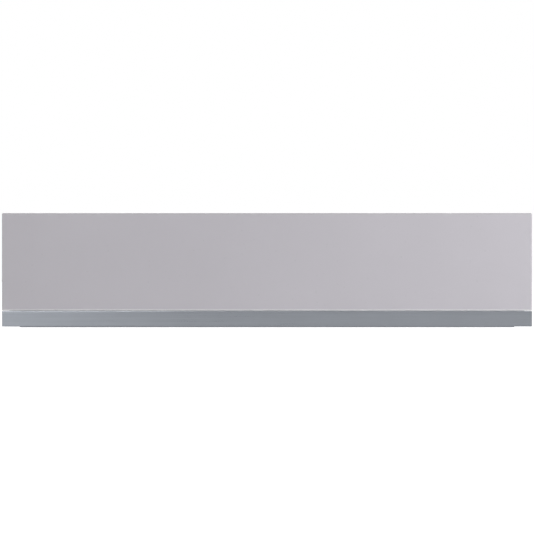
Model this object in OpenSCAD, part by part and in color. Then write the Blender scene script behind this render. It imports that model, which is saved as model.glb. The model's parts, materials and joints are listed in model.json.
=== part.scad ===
// Handleless warming drawer: a glass-fronted heated drawer on ball-bearing runners in a sheet-steel
// housing. Millimetres. +Z is up, the front faces -Y, and the origin is at the centre of the base.

/* [Front] */
// Width of the glass front
front_w = 595; // [585:1:610]
// Height of the front, glass and trim together
front_h = 127.5; // [126:0.5:140]
// Gap between the front's lower edge and the surface under the housing
front_clear = 1; // [0.5:0.1:2]
// Thickness of the glass
glass_t = 4; // [3:0.5:6]
// Bevel round the glass's edges
glass_bevel = 0.8; // [0.4:0.1:1.2]
// Thickness of the tape that bonds the glass
tape_t = 1.2; // [0.8:0.1:2]
// Depth of the folded carrier behind the glass, its back plate included
carrier_d = 14.3; // [10:0.1:20]
// How far the glass reaches past the carrier at each end
glass_overhang = 10; // [5:1:12]
// Height of the metal trim along the lower edge
trim_h = 17.6; // [14:0.1:22]
// How far the trim stands proud of the glass
trim_proud = 1.5; // [0.8:0.1:2.5]
// Radius of the trim's upper lip
trim_lip_r = 1.6; // [0.6:0.1:1.8]
// Wall of the trim's extrusion
trim_wall = 2; // [1.8:0.1:2.5]
// Gap between the front and the housing, which leaves room to press the front
push_gap = 4; // [3.6:0.1:6]
// How far the front goes in when it is pressed
press_travel = 2.5; // [1.5:0.1:2.8]

/* [Housing] */
// How far the front reaches past the housing's walls at each side
front_lap = 19; // [18:0.5:24]
// Depth of the housing
housing_d = 525; // [515:1:545]
// Height of the housing
housing_h = 126; // [125:0.5:128]
// Thickness of the housing's steel sheet
sheet_t = 1; // [0.8:0.1:1.2]
// Width of the front flanges that screw to the cabinet
flange_w = 11.5; // [10:0.5:14]
// Height of the lower cabinet screws over the base
fix_z = 30; // [20:1:40]
// Height between the lower and the upper cabinet screws
fix_pitch = 65; // [50:1:70]
// Diameter of the cabinet screws' holes
fix_hole_d = 4.5; // [4:0.1:5.5]
// How far the rear wall stands in from the housing's rear edge
rear_inset = 13; // [12:0.5:18]
// Height of the rail over the drawer's mouth
rail_h = 9; // [7:0.5:10]
// Depth of the ribs and beads pressed in the housing's sheets
rib_h = 3; // [2:0.5:3.5]
// Width of the vent slots
vent_w = 4; // [3:0.1:4.2]

/* [Runners] */
// Length of a runner's outer and middle members
slide_l = 500; // [490:1:505]
// Thickness of a closed runner
slide_t = 12.7; // [12.7:0.1:14]
// Height of a runner's outer member
slide_h = 45; // [45:0.5:48]
// Height of the runners' centre line over the base
slide_z = 62; // [58:0.5:66]
// Diameter of the balls
ball_d = 4.76; // [4.6:0.01:4.8]
// Length of a ball cage
cage_l = 240; // [200:5:250]
// Distance between the balls of a cage
ball_pitch = 30; // [20:1:40]

/* [Drawer] */
// Depth of the control trough between the front and the tub
trough_d = 44; // [43:1:50]
// Depth of the blower compartment behind the tub
blower_d = 62; // [60:1:66]
// Free depth between the drawer's back and the rear wall
rear_space = 36; // [34:1:42]
// Thickness of the drawer's side frames
frame_t = 1.2; // [1:0.1:1.5]
// Height of the side frames' lower edge over the base
frame_z = 8; // [7.5:0.5:9]
// Thickness of the tub's steel
tub_t = 1; // [0.8:0.1:1.2]
// Height of the tub's floor, its upper face, over the base
tub_floor = 35; // [33:0.5:38]
// Corner radius of the tub, seen from above
tub_corner = 24; // [20:1:35]
// Radius between the tub's floor and its walls
tub_fillet = 10; // [6:0.5:12]
// Thickness of the anti-slip mat
mat_t = 2; // [1.5:0.1:3]
// How far the control panel lies under the tub's rim
panel_drop = 12; // [11:0.5:14]
// Distance between the knob's centre and the drawer's side frame
knob_inset = 58.6; // [50:0.1:70]
// Diameter of the temperature knob
knob_d = 26; // [22:1:27]
// Height of the temperature knob
knob_h = 10; // [8:0.5:10.5]

/* [Heating] */
// Diameter of the heating element's sheath
element_d = 6.4; // [6:0.1:8]
// Straight runs of the heating element
element_runs = 6; // [4:2:6]
// Distance between the element's runs
element_pitch = 56; // [40:1:58]
// Thickness of the insulation board
board_t = 10; // [8:0.5:11]
// How much deeper the blower compartment is than its impeller
blower_room = 20; // [19:0.5:24]
// Length of the blower's impeller
impeller_l = 180; // [140:1:190]
// Blades round the impeller
blades = 24; // [16:1:30]
// Curls of the lead to the drawer
lead_curls = 10; // [8:1:10]
// Diameter of the lead to the drawer
lead_d = 5; // [4.5:0.1:5]

/* [Hidden] */
$fn = 48;
fit = 0.3;          // between parts that must not touch
running = 0.05;     // radial clearance of a shaft in its bearing
groove_gap = 0.08;  // radial clearance of a ball in its raceway
e = 0.01;           // cutters run past a face by this much

// Places along Y, from the front to the rear
front_t = trim_proud + glass_t + tape_t + carrier_d;
total_d = front_t + push_gap + housing_d;
y_face = -total_d / 2;
y_glass = y_face + trim_proud;
y_carrier = y_glass + glass_t + tape_t;
y_inner = y_face + front_t;
y_frame = y_inner + push_gap;
y_end = total_d / 2;
y_wall = y_end - rear_inset - sheet_t;
y_back = y_wall - rear_space;
tub_y0 = y_inner + trough_d;
tub_y1 = y_back - blower_d;
travel = tub_y1 - y_frame;
impeller_d = blower_d - blower_room;

// Places along X
housing_w = front_w - 2 * front_lap;
wall_x = housing_w / 2 - sheet_t;
frame_x = wall_x - slide_t;
frame_in = frame_x - frame_t;
tub_gap = 4;
rim_gap = 4.5;
tub_x = frame_in - tub_gap;
rim_x = wall_x - rim_gap;
rim_w = rim_x - tub_x;
carrier_x = front_w / 2 - glass_overhang;
fix_x = housing_w / 2 + flange_w / 2;

// Places along Z
rim_clear = 3;
z_front = front_clear;
z_front_top = z_front + front_h;
trim_top = z_front + trim_h;
z_glass = trim_top + fit;
z_cover = housing_h - sheet_t;
z_mouth = z_cover - rail_h;
z_rim = z_mouth - rim_clear;
z_rim_under = z_rim - tub_t;
z_panel = z_rim - panel_drop;
z_tub_under = tub_floor - tub_t;
pan_t = 0.8;
pan_drop = 2.2;
z_pan_rim = frame_z + frame_t;
z_pan = z_pan_rim - pan_drop;
z_board = z_pan + pan_t;
z_tray = z_board + board_t;
z_element = z_tub_under - fit - element_d / 2;

// Screws and rivets
screw_d = 3.5;
head_d = 7;
head_h = 1.2;
screw_hole = screw_d + 2 * fit;

steel = [0.72, 0.73, 0.74];
zinc = [0.66, 0.68, 0.70];
dark = [0.12, 0.12, 0.13];

// ---- Helpers ----

// A flat outline, drawn as [Y, Z], carried along X
module along_x(x0, l) translate([x0, 0, 0]) rotate([90, 0, 90]) linear_extrude(l) children();

// A flat outline, drawn as [X, Z], carried along Y
module along_y(y0, l) translate([0, y0 + l, 0]) rotate([90, 0, 0]) linear_extrude(l) children();

// A box between two corners
module block(lo, hi) translate(lo) cube([hi.x - lo.x, hi.y - lo.y, hi.z - lo.z]);

// A flat rectangle between two corners
module rect(lo, hi) translate(lo) square([hi.x - lo.x, hi.y - lo.y]);

// Children as drawn on the left, and mirrored for the right
module on_side(side) { if (side < 0) children(); else mirror([1, 0, 0]) children(); }

// A rounded rectangle, centred
module round_rect(w, h, r) {
    square([w - 2 * r, h], center = true);
    square([w, h - 2 * r], center = true);
    for (x = [-1, 1], y = [-1, 1]) translate([x * (w / 2 - r), y * (h / 2 - r)]) circle(r);
}

// A slot with round ends, centred, long along X
module slot(l, w = vent_w) {
    square([l - w, w], center = true);
    for (x = [-1, 1]) translate([x * (l - w) / 2, 0]) circle(d = w, $fn = 24);
}

// A centred row of vent slots, cut through a sheet that lies flat; each is long along Y
module vents_z(x, y, z, t, count, pitch, l) for (i = [0:count - 1])
    translate([x + (i - (count - 1) / 2) * pitch, y, z - e]) rotate(90) linear_extrude(t + 2 * e) slot(l);

// Hole cutters through a sheet whose near face is at the given place
module hole_x(x, y, z, t, d = screw_hole) translate([x - e, y, z]) rotate([0, 90, 0])
    cylinder(d = d, h = t + 2 * e);
module hole_y(x, y, z, t, d = screw_hole) translate([x, y - e, z]) rotate([-90, 0, 0])
    cylinder(d = d, h = t + 2 * e);
module hole_z(x, y, z, t, d = screw_hole) translate([x, y, z - e])
    cylinder(d = d, h = t + 2 * e);

// A flat-headed screw: the head's seat is at the origin, the head points along +Z
module flat_screw(l) {
    translate([0, 0, -l]) cylinder(d = screw_d, h = l);
    cylinder(d = head_d, h = head_h / 2);
    translate([0, 0, head_h / 2]) cylinder(d1 = head_d, d2 = head_d - 2, h = head_h / 2);
}

// A thin-headed rivet, seated and pointed as the screw is
module rivet(l) {
    cylinder(d = 6, h = 0.6);
    translate([0, 0, -l]) cylinder(d = screw_d, h = l);
}

// A screw whose head is seated on an outer face at x, on the left (side = -1) or the right (1)
module screw_x(side, x, y, z, l) translate([side * x, y, z]) rotate([0, side * 90, 0]) flat_screw(l);

// One ring of a rounded rectangle at a height, as points in order
function ring(x0, x1, y0, y1, r, z, n) = [
    for (q = [0:3], i = [0:n])
        let (a = q * 90 + i * 90 / n,
             cx = (q == 0 || q == 3) ? x1 - r : x0 + r,
             cy = (q < 2) ? y1 - r : y0 + r)
        [cx + r * cos(a), cy + r * sin(a), z]
];

// A pressed sheet with rounded corners. The stations run from the middle of its upper face, over the
// edge, to the middle of its lower face, as [inset from the outline, height].
module pressed(x0, x1, y0, y1, corner, stations, n = 5) {
    m = 4 * (n + 1);
    last = len(stations) - 1;
    points = [for (s = stations) each
        ring(x0 + s[0], x1 - s[0], y0 + s[0], y1 - s[0], corner - s[0], s[1], n)];
    faces = concat(
        [[for (i = [m - 1:-1:0]) i]],
        [for (j = [0:last - 1], i = [0:m - 1])
            [j * m + i, j * m + (i + 1) % m, (j + 1) * m + (i + 1) % m, (j + 1) * m + i]],
        [[for (i = [0:m - 1]) last * m + i]]
    );
    polyhedron(points, faces);
}

// Stations of a quarter round between a floor and a wall, about the centre c
function fillet(c, r, down = false, n = 5) = [
    for (i = [0:n]) let (a = 90 * (down ? n - i : i) / n) [c[0] - r * sin(a), c[1] - r * cos(a)]
];

// A pressed rib's outline: w wide, h high, standing on a sheet's face, and the hollow under it
module rib(w, h) polygon([[-w / 2, 0], [w / 2, 0], [w / 2 - h, h], [h - w / 2, h]]);
module rib_hollow(w, h, t) polygon([[-w / 2 - t, -2 * t], [w / 2 + t, -2 * t], [w / 2 - h - 0.4 * t, h - t],
    [h - w / 2 + 0.4 * t, h - t]]);

// ---- Housing ----

base_ribs = [-180, -60, 60, 180];
base_rib_w = 26;
base_vents = [-120, 0, 120];
base_vent_l = 60;
base_vent_pitch = 14;
pan_lip = 12;
rib_y0 = y_frame + 35;
rib_y1 = y_wall - 40;
mouth_lip = rib_h + sheet_t;
pan_fix_z = 6.5;
fix_steps = 3;
pan_fix = [for (i = [0:fix_steps]) y_frame + 20 + i * (housing_d - 70) / fix_steps];

module base_pan() color(zinc) difference() {
    union() {
        block([-wall_x, y_frame, 0], [wall_x, y_end, sheet_t]);
        for (x = [-wall_x, wall_x - sheet_t]) block([x, y_frame, 0], [x + sheet_t, y_wall, pan_lip]);
        block([-wall_x, y_frame, 0], [wall_x, y_frame + sheet_t, mouth_lip]);
        for (x = base_ribs) translate([x, 0, sheet_t]) along_y(rib_y0, rib_y1 - rib_y0)
            rib(base_rib_w, rib_h);
    }
    for (x = base_ribs) translate([x, 0, sheet_t]) along_y(rib_y0 + sheet_t, rib_y1 - rib_y0 - 2 * sheet_t)
        rib_hollow(base_rib_w, rib_h, sheet_t);
    for (x = base_vents, i = [0:6]) translate([x, i * base_vent_pitch, -e]) linear_extrude(sheet_t + 2 * e)
        slot(base_vent_l);
    for (x = [-wall_x, wall_x - sheet_t], y = pan_fix) hole_x(x, y, pan_fix_z, sheet_t);
}

cover_flange = 12;
cover_y0 = y_frame + 26;
cover_fix_z = z_cover - 7;
cover_fix = [for (i = [0:fix_steps]) cover_y0 + 12 + i * (y_wall - cover_y0 - 24) / fix_steps];
rail_d = 24;
rail_lip = 10;
rail_fix = [y_frame + rail_d / 2, z_mouth + rail_h / 2];
rear_lip = 7;
rear_fix_y = y_wall + sheet_t + rear_lip / 2;
rear_fix_z = [20, z_cover - 20];
runner_fix = [30, 190, 350, 470];
bead_w = 14;
bead_h = rib_h / 2 + 0.5;
bead_y = [40, 120];
bead_l = housing_d - bead_y[0] - bead_y[1];
bead_z = (slide_z + slide_h / 2 + z_cover - cover_flange) / 2;
flange_z = [5, z_cover - 3];
vents = 12;
vent_pitch = 11;
side_vent_l = 20;
side_vent_z = 29;

module side_wall(side) color(zinc) on_side(side) difference() {
    union() {
        block([-wall_x - sheet_t, y_frame, 0], [-wall_x, y_end, housing_h]);
        block([-fix_x - flange_w / 2, y_frame, flange_z[0]], [-wall_x, y_frame + sheet_t, flange_z[1]]);
        // a bead pressed inwards, above the runner
        translate([-wall_x, 0, bead_z]) along_y(y_frame + bead_y[0], bead_l) rotate(-90) rib(bead_w, bead_h);
    }
    translate([-wall_x, 0, bead_z]) along_y(y_frame + bead_y[0] + sheet_t, bead_l - 2 * sheet_t)
        rotate(-90) rib_hollow(bead_w, bead_h, sheet_t);
    for (z = [fix_z, fix_z + fix_pitch]) hole_y(-fix_x, y_frame, z, sheet_t, fix_hole_d);
    for (y = runner_fix) hole_x(-wall_x - sheet_t, slide_y0 + y, slide_z, sheet_t);
    for (y = pan_fix) hole_x(-wall_x - sheet_t, y, pan_fix_z, sheet_t);
    for (y = cover_fix) hole_x(-wall_x - sheet_t, y, cover_fix_z, sheet_t);
    for (z = rear_fix_z) hole_x(-wall_x - sheet_t, rear_fix_y, z, sheet_t);
    hole_x(-wall_x - sheet_t, rail_fix[0], rail_fix[1], sheet_t);
    for (i = [1:vents - 2]) translate([-wall_x - sheet_t - e, y_wall - rail_d - i * vent_pitch, side_vent_z])
        rotate([90, 90, 90]) linear_extrude(sheet_t + 2 * e) slot(side_vent_l);
}

gland = [wall_x - 45.5, 32];
gland_bore = 8.5;
gland_thread = 16;
gland_inside = 14;
gland_nut = 5;
gland_hex = 4;
latch_z = slide_z;
latch_fix = 20;
vent_x = 120;
vent_z = [42, z_cover - 39];
vent_l = 28;

module rear_wall() color(zinc) difference() {
    union() {
        block([-wall_x, y_wall, sheet_t], [wall_x, y_wall + sheet_t, z_cover]);
        for (x = [-wall_x, wall_x - sheet_t])
            block([x, y_wall, sheet_t], [x + sheet_t, y_wall + sheet_t + rear_lip, z_cover]);
        for (z = [sheet_t, z_cover - sheet_t])
            block([-wall_x, y_wall, z], [wall_x, y_wall + sheet_t + rear_lip, z + sheet_t]);
    }
    for (s = [-1, 1], i = [0:vents - 1], z = vent_z)
        translate([s * vent_x + (i - (vents - 1) / 2) * vent_pitch, y_wall - e, z]) rotate([-90, 90, 0])
            linear_extrude(sheet_t + 2 * e) slot(vent_l);
    hole_y(gland.x, y_wall, gland.y, sheet_t, gland_thread + 2 * fit);
    for (x = [-latch_fix, latch_fix]) hole_y(x, y_wall, latch_z, sheet_t);
    for (x = [-wall_x, wall_x - sheet_t], z = rear_fix_z) hole_x(x, rear_fix_y, z, sheet_t);
}

cover_ribs = [for (i = [-2:2]) i * 62 - 20];
cover_rib_w = 30;
cover_rib_x = wall_x - 67.5;
cover_vents = 24;
cover_vent_pitch = 16;
cover_vent_l = 26;
cover_vent_rows = [26, 60];

module top_cover() color(zinc) difference() {
    union() {
        block([-wall_x, y_frame, z_cover], [wall_x, y_end, housing_h]);
        for (x = [-wall_x, wall_x - sheet_t])
            block([x, cover_y0, z_cover - cover_flange], [x + sheet_t, y_wall, z_cover]);
        for (y = cover_ribs) translate([0, y, z_cover]) mirror([0, 0, 1])
            along_x(-cover_rib_x, 2 * cover_rib_x) rib(cover_rib_w, rib_h);
    }
    for (y = cover_ribs) translate([0, y, z_cover]) mirror([0, 0, 1])
        along_x(sheet_t - cover_rib_x, 2 * (cover_rib_x - sheet_t)) rib_hollow(cover_rib_w, rib_h, sheet_t);
    for (y = cover_vent_rows)
        vents_z(0, y_wall - y, z_cover, sheet_t, cover_vents, cover_vent_pitch, cover_vent_l);
    for (x = [-wall_x, wall_x - sheet_t], y = cover_fix) hole_x(x, y, cover_fix_z, sheet_t);
}

module front_rail() color(steel) difference() {
    union() {
        along_x(-wall_x, 2 * wall_x) {
            rect([y_frame, z_mouth], [y_frame + sheet_t, z_cover]);
            rect([y_frame, z_cover - sheet_t], [y_frame + rail_d, z_cover]);
            rect([y_frame, z_mouth], [y_frame + rail_lip, z_mouth + sheet_t]);
        }
        for (x = [-wall_x, wall_x - sheet_t])
            block([x, y_frame, z_mouth], [x + sheet_t, y_frame + rail_d, z_cover]);
    }
    for (x = [-wall_x, wall_x - sheet_t]) hole_x(x, rail_fix[0], rail_fix[1], sheet_t);
}

module housing_screws() color(steel) {
    outer_x = wall_x + sheet_t;
    for (s = [-1, 1]) {
        for (y = pan_fix) screw_x(s, outer_x, y, pan_fix_z, 2 * sheet_t);
        for (y = cover_fix) screw_x(s, outer_x, y, cover_fix_z, 2 * sheet_t);
        for (z = rear_fix_z) screw_x(s, outer_x, rear_fix_y, z, 2 * sheet_t);
        screw_x(s, outer_x, rail_fix[0], rail_fix[1], 2 * sheet_t);
        for (y = runner_fix) translate([s * outer_x, slide_y0 + y, slide_z]) rotate([0, s * 90, 0])
            rivet(runner_web + sheet_t);
    }
    for (x = [-latch_fix, latch_fix]) translate([x, y_wall + sheet_t, latch_z]) rotate([-90, 0, 0])
        flat_screw(sheet_t + 5);
}

buffer_t = push_gap - press_travel - fit;
buffer_d = 8;
buffer_x = min(fix_x, carrier_x - buffer_d / 2 - 0.5);
buffer_z = [14, housing_h - 14];

module front_buffers() color([0.85, 0.85, 0.82])
    for (s = [-1, 1], z = buffer_z) translate([s * buffer_x, y_frame, z]) rotate([90, 0, 0]) {
        cylinder(d = buffer_d, h = buffer_t / 2);
        translate([0, 0, buffer_t / 2]) cylinder(d1 = buffer_d, d2 = buffer_d - 1, h = buffer_t / 2);
    }

// ---- Runners ----
// A member's outline is drawn as [u, v]: u from the housing's wall towards the drawer, and v up from
// the runner's centre line. Each row of balls runs between the grooves of two members.

slide_y0 = y_frame + 2;
runner_web = 1.2;
runner_edge = slide_h / 2;
ball_u = slide_t / 2;
row_outer = runner_edge - 1.5 - groove_gap - ball_d / 2;
row_inner = row_outer - ball_d - 2 * groove_gap - 2.1;
raceway_r = ball_d / 2 + groove_gap;
mid_web = 2.2;
mid_edge = row_outer - 1.6;
mid_flange = row_inner + 1.6;
inner_edge = row_inner - 1.4;
cage_t = 0.5;

// Carries a member's outline along Y on one side
module member(side, y0, l) on_side(side) translate([-wall_x, 0, slide_z]) along_y(y0, l) children();

// Grooves over and under the centre line, as circles to cut
module grooves(row) for (v = [-1, 1]) translate([ball_u, v * row]) circle(raceway_r);

// A web, with a flange over and under the centre line
module channel(u0, u1, web_u, edge, flange) {
    rect([web_u, -edge], [web_u + runner_web, edge]);
    rect([u0, flange], [u1, edge]);
    rect([u0, -edge], [u1, -flange]);
}

module runner_outer(side) color(zinc) difference() {
    member(side, slide_y0, slide_l) difference() {
        channel(0, slide_t - 1.9, 0, runner_edge, runner_edge - 3.1);
        grooves(row_outer);
    }
    for (y = runner_fix) on_side(side) hole_x(-wall_x, slide_y0 + y, slide_z, runner_web);
}

module runner_mid(side) color(zinc) member(side, slide_y0, slide_l) difference() {
    channel(mid_web, slide_t - 2.3, mid_web, mid_edge, mid_flange);
    grooves(row_outer);
    grooves(row_inner);
}

inner_y0 = y_inner + 3;
inner_fix = [25, 165, 305, 430];

module inner_holes(side, x, t) for (y = inner_fix) on_side(side) hole_x(-x, inner_y0 + y, slide_z, t);

module runner_inner(side) color(zinc) difference() {
    member(side, inner_y0, y_back - inner_y0) difference() {
        channel(mid_web + 2.6, slide_t, slide_t - runner_web, inner_edge, inner_edge - 2.4);
        grooves(row_inner);
    }
    inner_holes(side, frame_x + runner_web, runner_web);
}

// A cage: a strip folded round the runner's web, with pockets that hold its balls
module cage(side, row, web_u) color(steel) {
    y0 = slide_y0 + travel / 4 + 20;
    balls = [for (i = [0:floor((cage_l - 20) / ball_pitch)], v = [-1, 1])
        [ball_u, y0 + 10 + i * ball_pitch, v * row]];
    on_side(side) translate([-wall_x, 0, slide_z]) {
        difference() {
            along_y(y0, cage_l) {
                rect([web_u, -row - cage_t / 2], [web_u + cage_t, row + cage_t / 2]);
                for (v = [-1, 1]) translate([web_u, v * row - cage_t / 2])
                    square([slide_t - 2.9 - web_u, cage_t]);
            }
            for (b = balls) translate(b) cylinder(r = raceway_r, h = 4, center = true);
        }
        for (b = balls) translate(b) sphere(d = ball_d);
    }
}

module cage_outer(side) cage(side, row_outer, runner_web + 0.25);
module cage_inner(side) cage(side, row_inner, mid_web + runner_web + 0.3);

// ---- Touch latch ----

latch_w = 52;
latch_h = 20;
latch_l = rear_space - 10;
latch_body_w = 28;
latch_flange_t = 3;
latch_nose = 2;
plunger_d = 9;
plunger_bore = 6;
strike_t = 1.5;
strike = [44, 22];
strike_fix = 16;
plunger_y0 = y_back + strike_t + fit;
latch_floor = y_wall - 4;
plunger_y1 = latch_floor - press_travel - 3;
spring_wire = 0.8;
spring_turns = 7;
spring_r = plunger_bore / 2 - fit - spring_wire / 2;
spring_y0 = plunger_y0 + 5;

module latch_body() color(dark) difference() {
    union() {
        block([-latch_body_w / 2, y_wall - latch_l, latch_z - latch_h / 2],
            [latch_body_w / 2, y_wall, latch_z + latch_h / 2]);
        translate([0, y_wall, latch_z]) rotate([90, 0, 0]) linear_extrude(latch_flange_t)
            round_rect(latch_w, latch_h, 4);
        translate([0, y_wall - latch_l - latch_nose, latch_z]) rotate([-90, 0, 0])
            cylinder(d = plunger_d + 5, h = latch_nose + 2);
    }
    translate([0, latch_floor, latch_z]) rotate([90, 0, 0])
        cylinder(d = plunger_d + 2 * running, h = latch_l + latch_nose);
    for (x = [-latch_fix, latch_fix]) hole_y(x, y_wall - 6, latch_z, 6);
}

module latch_plunger() color([0.9, 0.9, 0.88]) translate([0, 0, latch_z]) rotate([-90, 0, 0]) difference() {
    union() {
        translate([0, 0, plunger_y0 + 2]) cylinder(d = plunger_d, h = plunger_y1 - plunger_y0 - 2);
        translate([0, 0, plunger_y0]) cylinder(d1 = plunger_d - 1.5, d2 = plunger_d, h = 2);
    }
    translate([0, 0, spring_y0 - fit]) cylinder(d = plunger_bore, h = plunger_y1 - spring_y0 + 1);
}

// The spring's line along the plunger's axis, from its seat in the plunger to the body's floor
function spring_line() = let (steps = 8, l = latch_floor - spring_y0 - spring_wire) [
    for (i = [0:spring_turns * steps]) let (a = 360 * i / steps)
        [spring_r * cos(a), spring_y0 + spring_wire / 2 + l * i / (spring_turns * steps), spring_r * sin(a)]
];

module latch_spring() color(steel) translate([0, 0, latch_z]) swept(spring_line(), spring_wire / 2, [0, 0]);

module strike_plate() color(steel) difference() {
    translate([0, y_back + strike_t, latch_z]) rotate([90, 0, 0]) linear_extrude(strike_t)
        round_rect(strike.x, strike.y, 3);
    for (x = [-strike_fix, strike_fix]) hole_y(x, y_back, latch_z, strike_t);
}

// ---- Supply ----

// A gland: a locknut inside the wall, and outside it a hexagon with a tapered cap
module cable_gland() color(dark) translate([gland.x, y_wall, gland.y]) rotate([-90, 0, 0]) difference() {
    union() {
        translate([0, 0, -gland_inside]) cylinder(d = gland_thread, h = gland_inside + sheet_t + 2);
        translate([0, 0, -gland_nut]) cylinder(d = gland_thread + 8, h = gland_nut, $fn = 6);
        translate([0, 0, sheet_t]) cylinder(d = gland_thread + 6, h = gland_hex, $fn = 6);
        translate([0, 0, sheet_t + gland_hex])
            cylinder(d1 = gland_thread + 3, d2 = gland_thread - 3, h = rear_inset - gland_hex - 2);
    }
    translate([0, 0, -gland_inside - 1]) cylinder(d = gland_bore, h = gland_inside + rear_inset + 2);
}

box_x = [wall_x - 97.5, wall_x - 15.5];
box_y = y_wall - 22;
box_wall = 2;
box_top = z_rim - 17;
post_pitch = 16;
post_d = 9;
post_z = 66;

// The box over the mains terminals, open to the rear wall, with a post for each conductor
module terminal_box() color([0.82, 0.82, 0.8]) {
    difference() {
        block([box_x[0], box_y, sheet_t], [box_x[1], y_wall, box_top]);
        block([box_x[0] + box_wall, box_y + box_wall, sheet_t + box_wall],
            [box_x[1] - box_wall, y_wall + e, box_top - box_wall]);
    }
    for (i = [-1:1]) translate([gland.x + i * post_pitch, box_y + box_wall, post_z]) rotate([-90, 0, 0])
        difference() {
            cylinder(d = post_d, h = 12);
            translate([0, 0, 4]) cylinder(d = post_d - 5, h = 9);
        }
}

lead_x = wall_x - 79.5;
lead_z = z_rim - 35;
curl_r = 10;
clamp_d = 6;
lead_y0 = tub_y1 + clamp_d;
lead_y1 = box_y;
curl_rings = 8;
lead_tail = lead_d * 1.4;
lead_pitch = (lead_y1 - lead_y0 - 2 * lead_tail) / lead_curls;
lead_room = curl_r + 12;

// The lead's line: straight, then the curls, then straight again
function lead_line() = concat(
    [[curl_r, lead_y0, 0]],
    [for (i = [0:lead_curls * curl_rings]) let (a = 360 * i / curl_rings)
        [curl_r * cos(a), lead_y0 + lead_tail + lead_pitch * i / curl_rings, curl_r * sin(a)]],
    [[curl_r, lead_y1, 0]]
);

function unit(v) = v / norm(v);

// A six-sided tube along a line that winds round the Y axis. Its rings turn with the winding, and an
// end with straight = 1 is cut square to the axis.
module swept(line, r, straight, sides = 6) {
    last = len(line) - 1;
    function along(i) =
        (i == 0) ? (straight[0] ? [0, 1, 0] : unit(line[1] - line[0])) :
        (i == last) ? (straight[1] ? [0, 1, 0] : unit(line[last] - line[last - 1])) :
        unit(line[i + 1] - line[i - 1]);
    points = [for (i = [0:last])
        let (t = along(i),
             side = unit(cross(t, [line[i].x, 0, line[i].z])),
             up = cross(side, t))
        for (k = [0:sides - 1]) line[i] + r * (cos(360 * k / sides) * up + sin(360 * k / sides) * side)];
    faces = concat(
        [[for (k = [sides - 1:-1:0]) k]],
        [for (i = [0:last - 1], k = [0:sides - 1], half = [0, 1])
            let (a = i * sides + k, b = i * sides + (k + 1) % sides)
            half == 0 ? [a, b, b + sides] : [a, b + sides, a + sides]],
        [[for (k = [0:sides - 1]) last * sides + k]]
    );
    polyhedron(points, faces);
}

module coiled_lead() color(dark) translate([lead_x, 0, lead_z]) swept(lead_line(), lead_d / 2, [1, 1]);

// The least gap between a wound tube and itself, between points of its line half a turn or more apart
function least_gap(line, d, half_turn) = min([
    for (i = [0:len(line) - 1], j = [i + half_turn:1:len(line) - 1]) norm(line[i] - line[j])
]) - d;

echo(coiled_lead_least_gap = least_gap(lead_line(), lead_d, curl_rings / 2));
echo(latch_spring_least_gap = least_gap(spring_line(), spring_wire, curl_rings / 2));

module lead_clamp() color(dark) difference() {
    block([lead_x + curl_r - 12, tub_y1, lead_z - 8], [lead_x + curl_r + 12, lead_y0, lead_z + 8]);
    for (x = [-9, 9]) hole_y(lead_x + curl_r + x, tub_y1, lead_z, clamp_d, 3);
}

// ---- Front ----

// A plate standing in the X-Z plane, bevelled by c on the front and by half of it at the back
module bevelled_plate(x0, x1, z0, z1, y0, t, c) intersection() {
    along_x(x0, x1 - x0) polygon([[y0, z0 + c], [y0 + c, z0], [y0 + t - c / 2, z0], [y0 + t, z0 + c / 2],
        [y0 + t, z1 - c / 2], [y0 + t - c / 2, z1], [y0 + c, z1], [y0, z1 - c]]);
    translate([0, 0, z0]) linear_extrude(z1 - z0) polygon([[x0 + c, y0], [x0, y0 + c], [x0, y0 + t - c / 2],
        [x0 + c / 2, y0 + t], [x1 - c / 2, y0 + t], [x1, y0 + t - c / 2], [x1, y0 + c], [x1 - c, y0]]);
}

module glass_panel() color([0.70, 0.69, 0.72])
    bevelled_plate(-front_w / 2, front_w / 2, z_glass, z_front_top, y_glass, glass_t, glass_bevel);

trim_foot = 8;
trim_leg = 8;
trim_floor = z_front + trim_wall;
plug_l = 6;

// The trim's extrusion: a front wall with a rounded lip, a ledge under the glass, and a foot under the
// carrier
module trim_strip() color([0.58, 0.60, 0.62]) along_x(-front_w / 2, front_w) {
    difference() {
        union() {
            rect([y_face, z_front], [y_face + trim_wall, trim_top]);
            rect([y_face, z_front], [y_carrier + trim_foot, trim_floor]);
            rect([y_face, trim_top - trim_wall], [y_carrier, trim_top]);
            rect([y_carrier - trim_wall, trim_top - trim_leg], [y_carrier, trim_top]);
        }
        rect([y_face - e, trim_top - trim_lip_r], [y_face + trim_lip_r, trim_top + e]);
    }
    intersection() {
        translate([y_face + trim_lip_r, trim_top - trim_lip_r]) circle(trim_lip_r);
        rect([y_face, trim_top - trim_lip_r], [y_face + trim_lip_r, trim_top]);
    }
}

module trim_end_plugs() color(dark) for (x = [-front_w / 2, front_w / 2 - plug_l])
    block([x, y_face + trim_wall, trim_floor], [x + plug_l, y_carrier - trim_wall, trim_top - trim_wall]);

carrier_z1 = z_front_top - 5;
carrier_t = 1;
tape_w = 12;
tape_z = [z_glass + tape_w / 2, carrier_z1 - 5 - tape_w];

module glass_tape() color(dark) for (z = tape_z)
    block([tape_w / 2 - carrier_x, y_glass + glass_t, z], [carrier_x - tape_w / 2, y_carrier, z + tape_w]);

module front_carrier() color(zinc) difference() {
    block([-carrier_x, y_carrier, trim_floor], [carrier_x, y_inner - carrier_t, carrier_z1]);
    block([carrier_t - carrier_x, y_carrier + carrier_t, trim_floor + carrier_t],
        [carrier_x - carrier_t, y_inner, carrier_z1 - carrier_t]);
}

frame_tab = 14;
tab_z0 = 24;
tab_z1 = z_panel - 11;
tab_z = [tab_z0, (tab_z0 + tab_z1) / 2, tab_z1];
front_fix = [for (s = [-1, 1], z = tab_z) [s * (frame_in - frame_tab / 2), z]];

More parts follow.
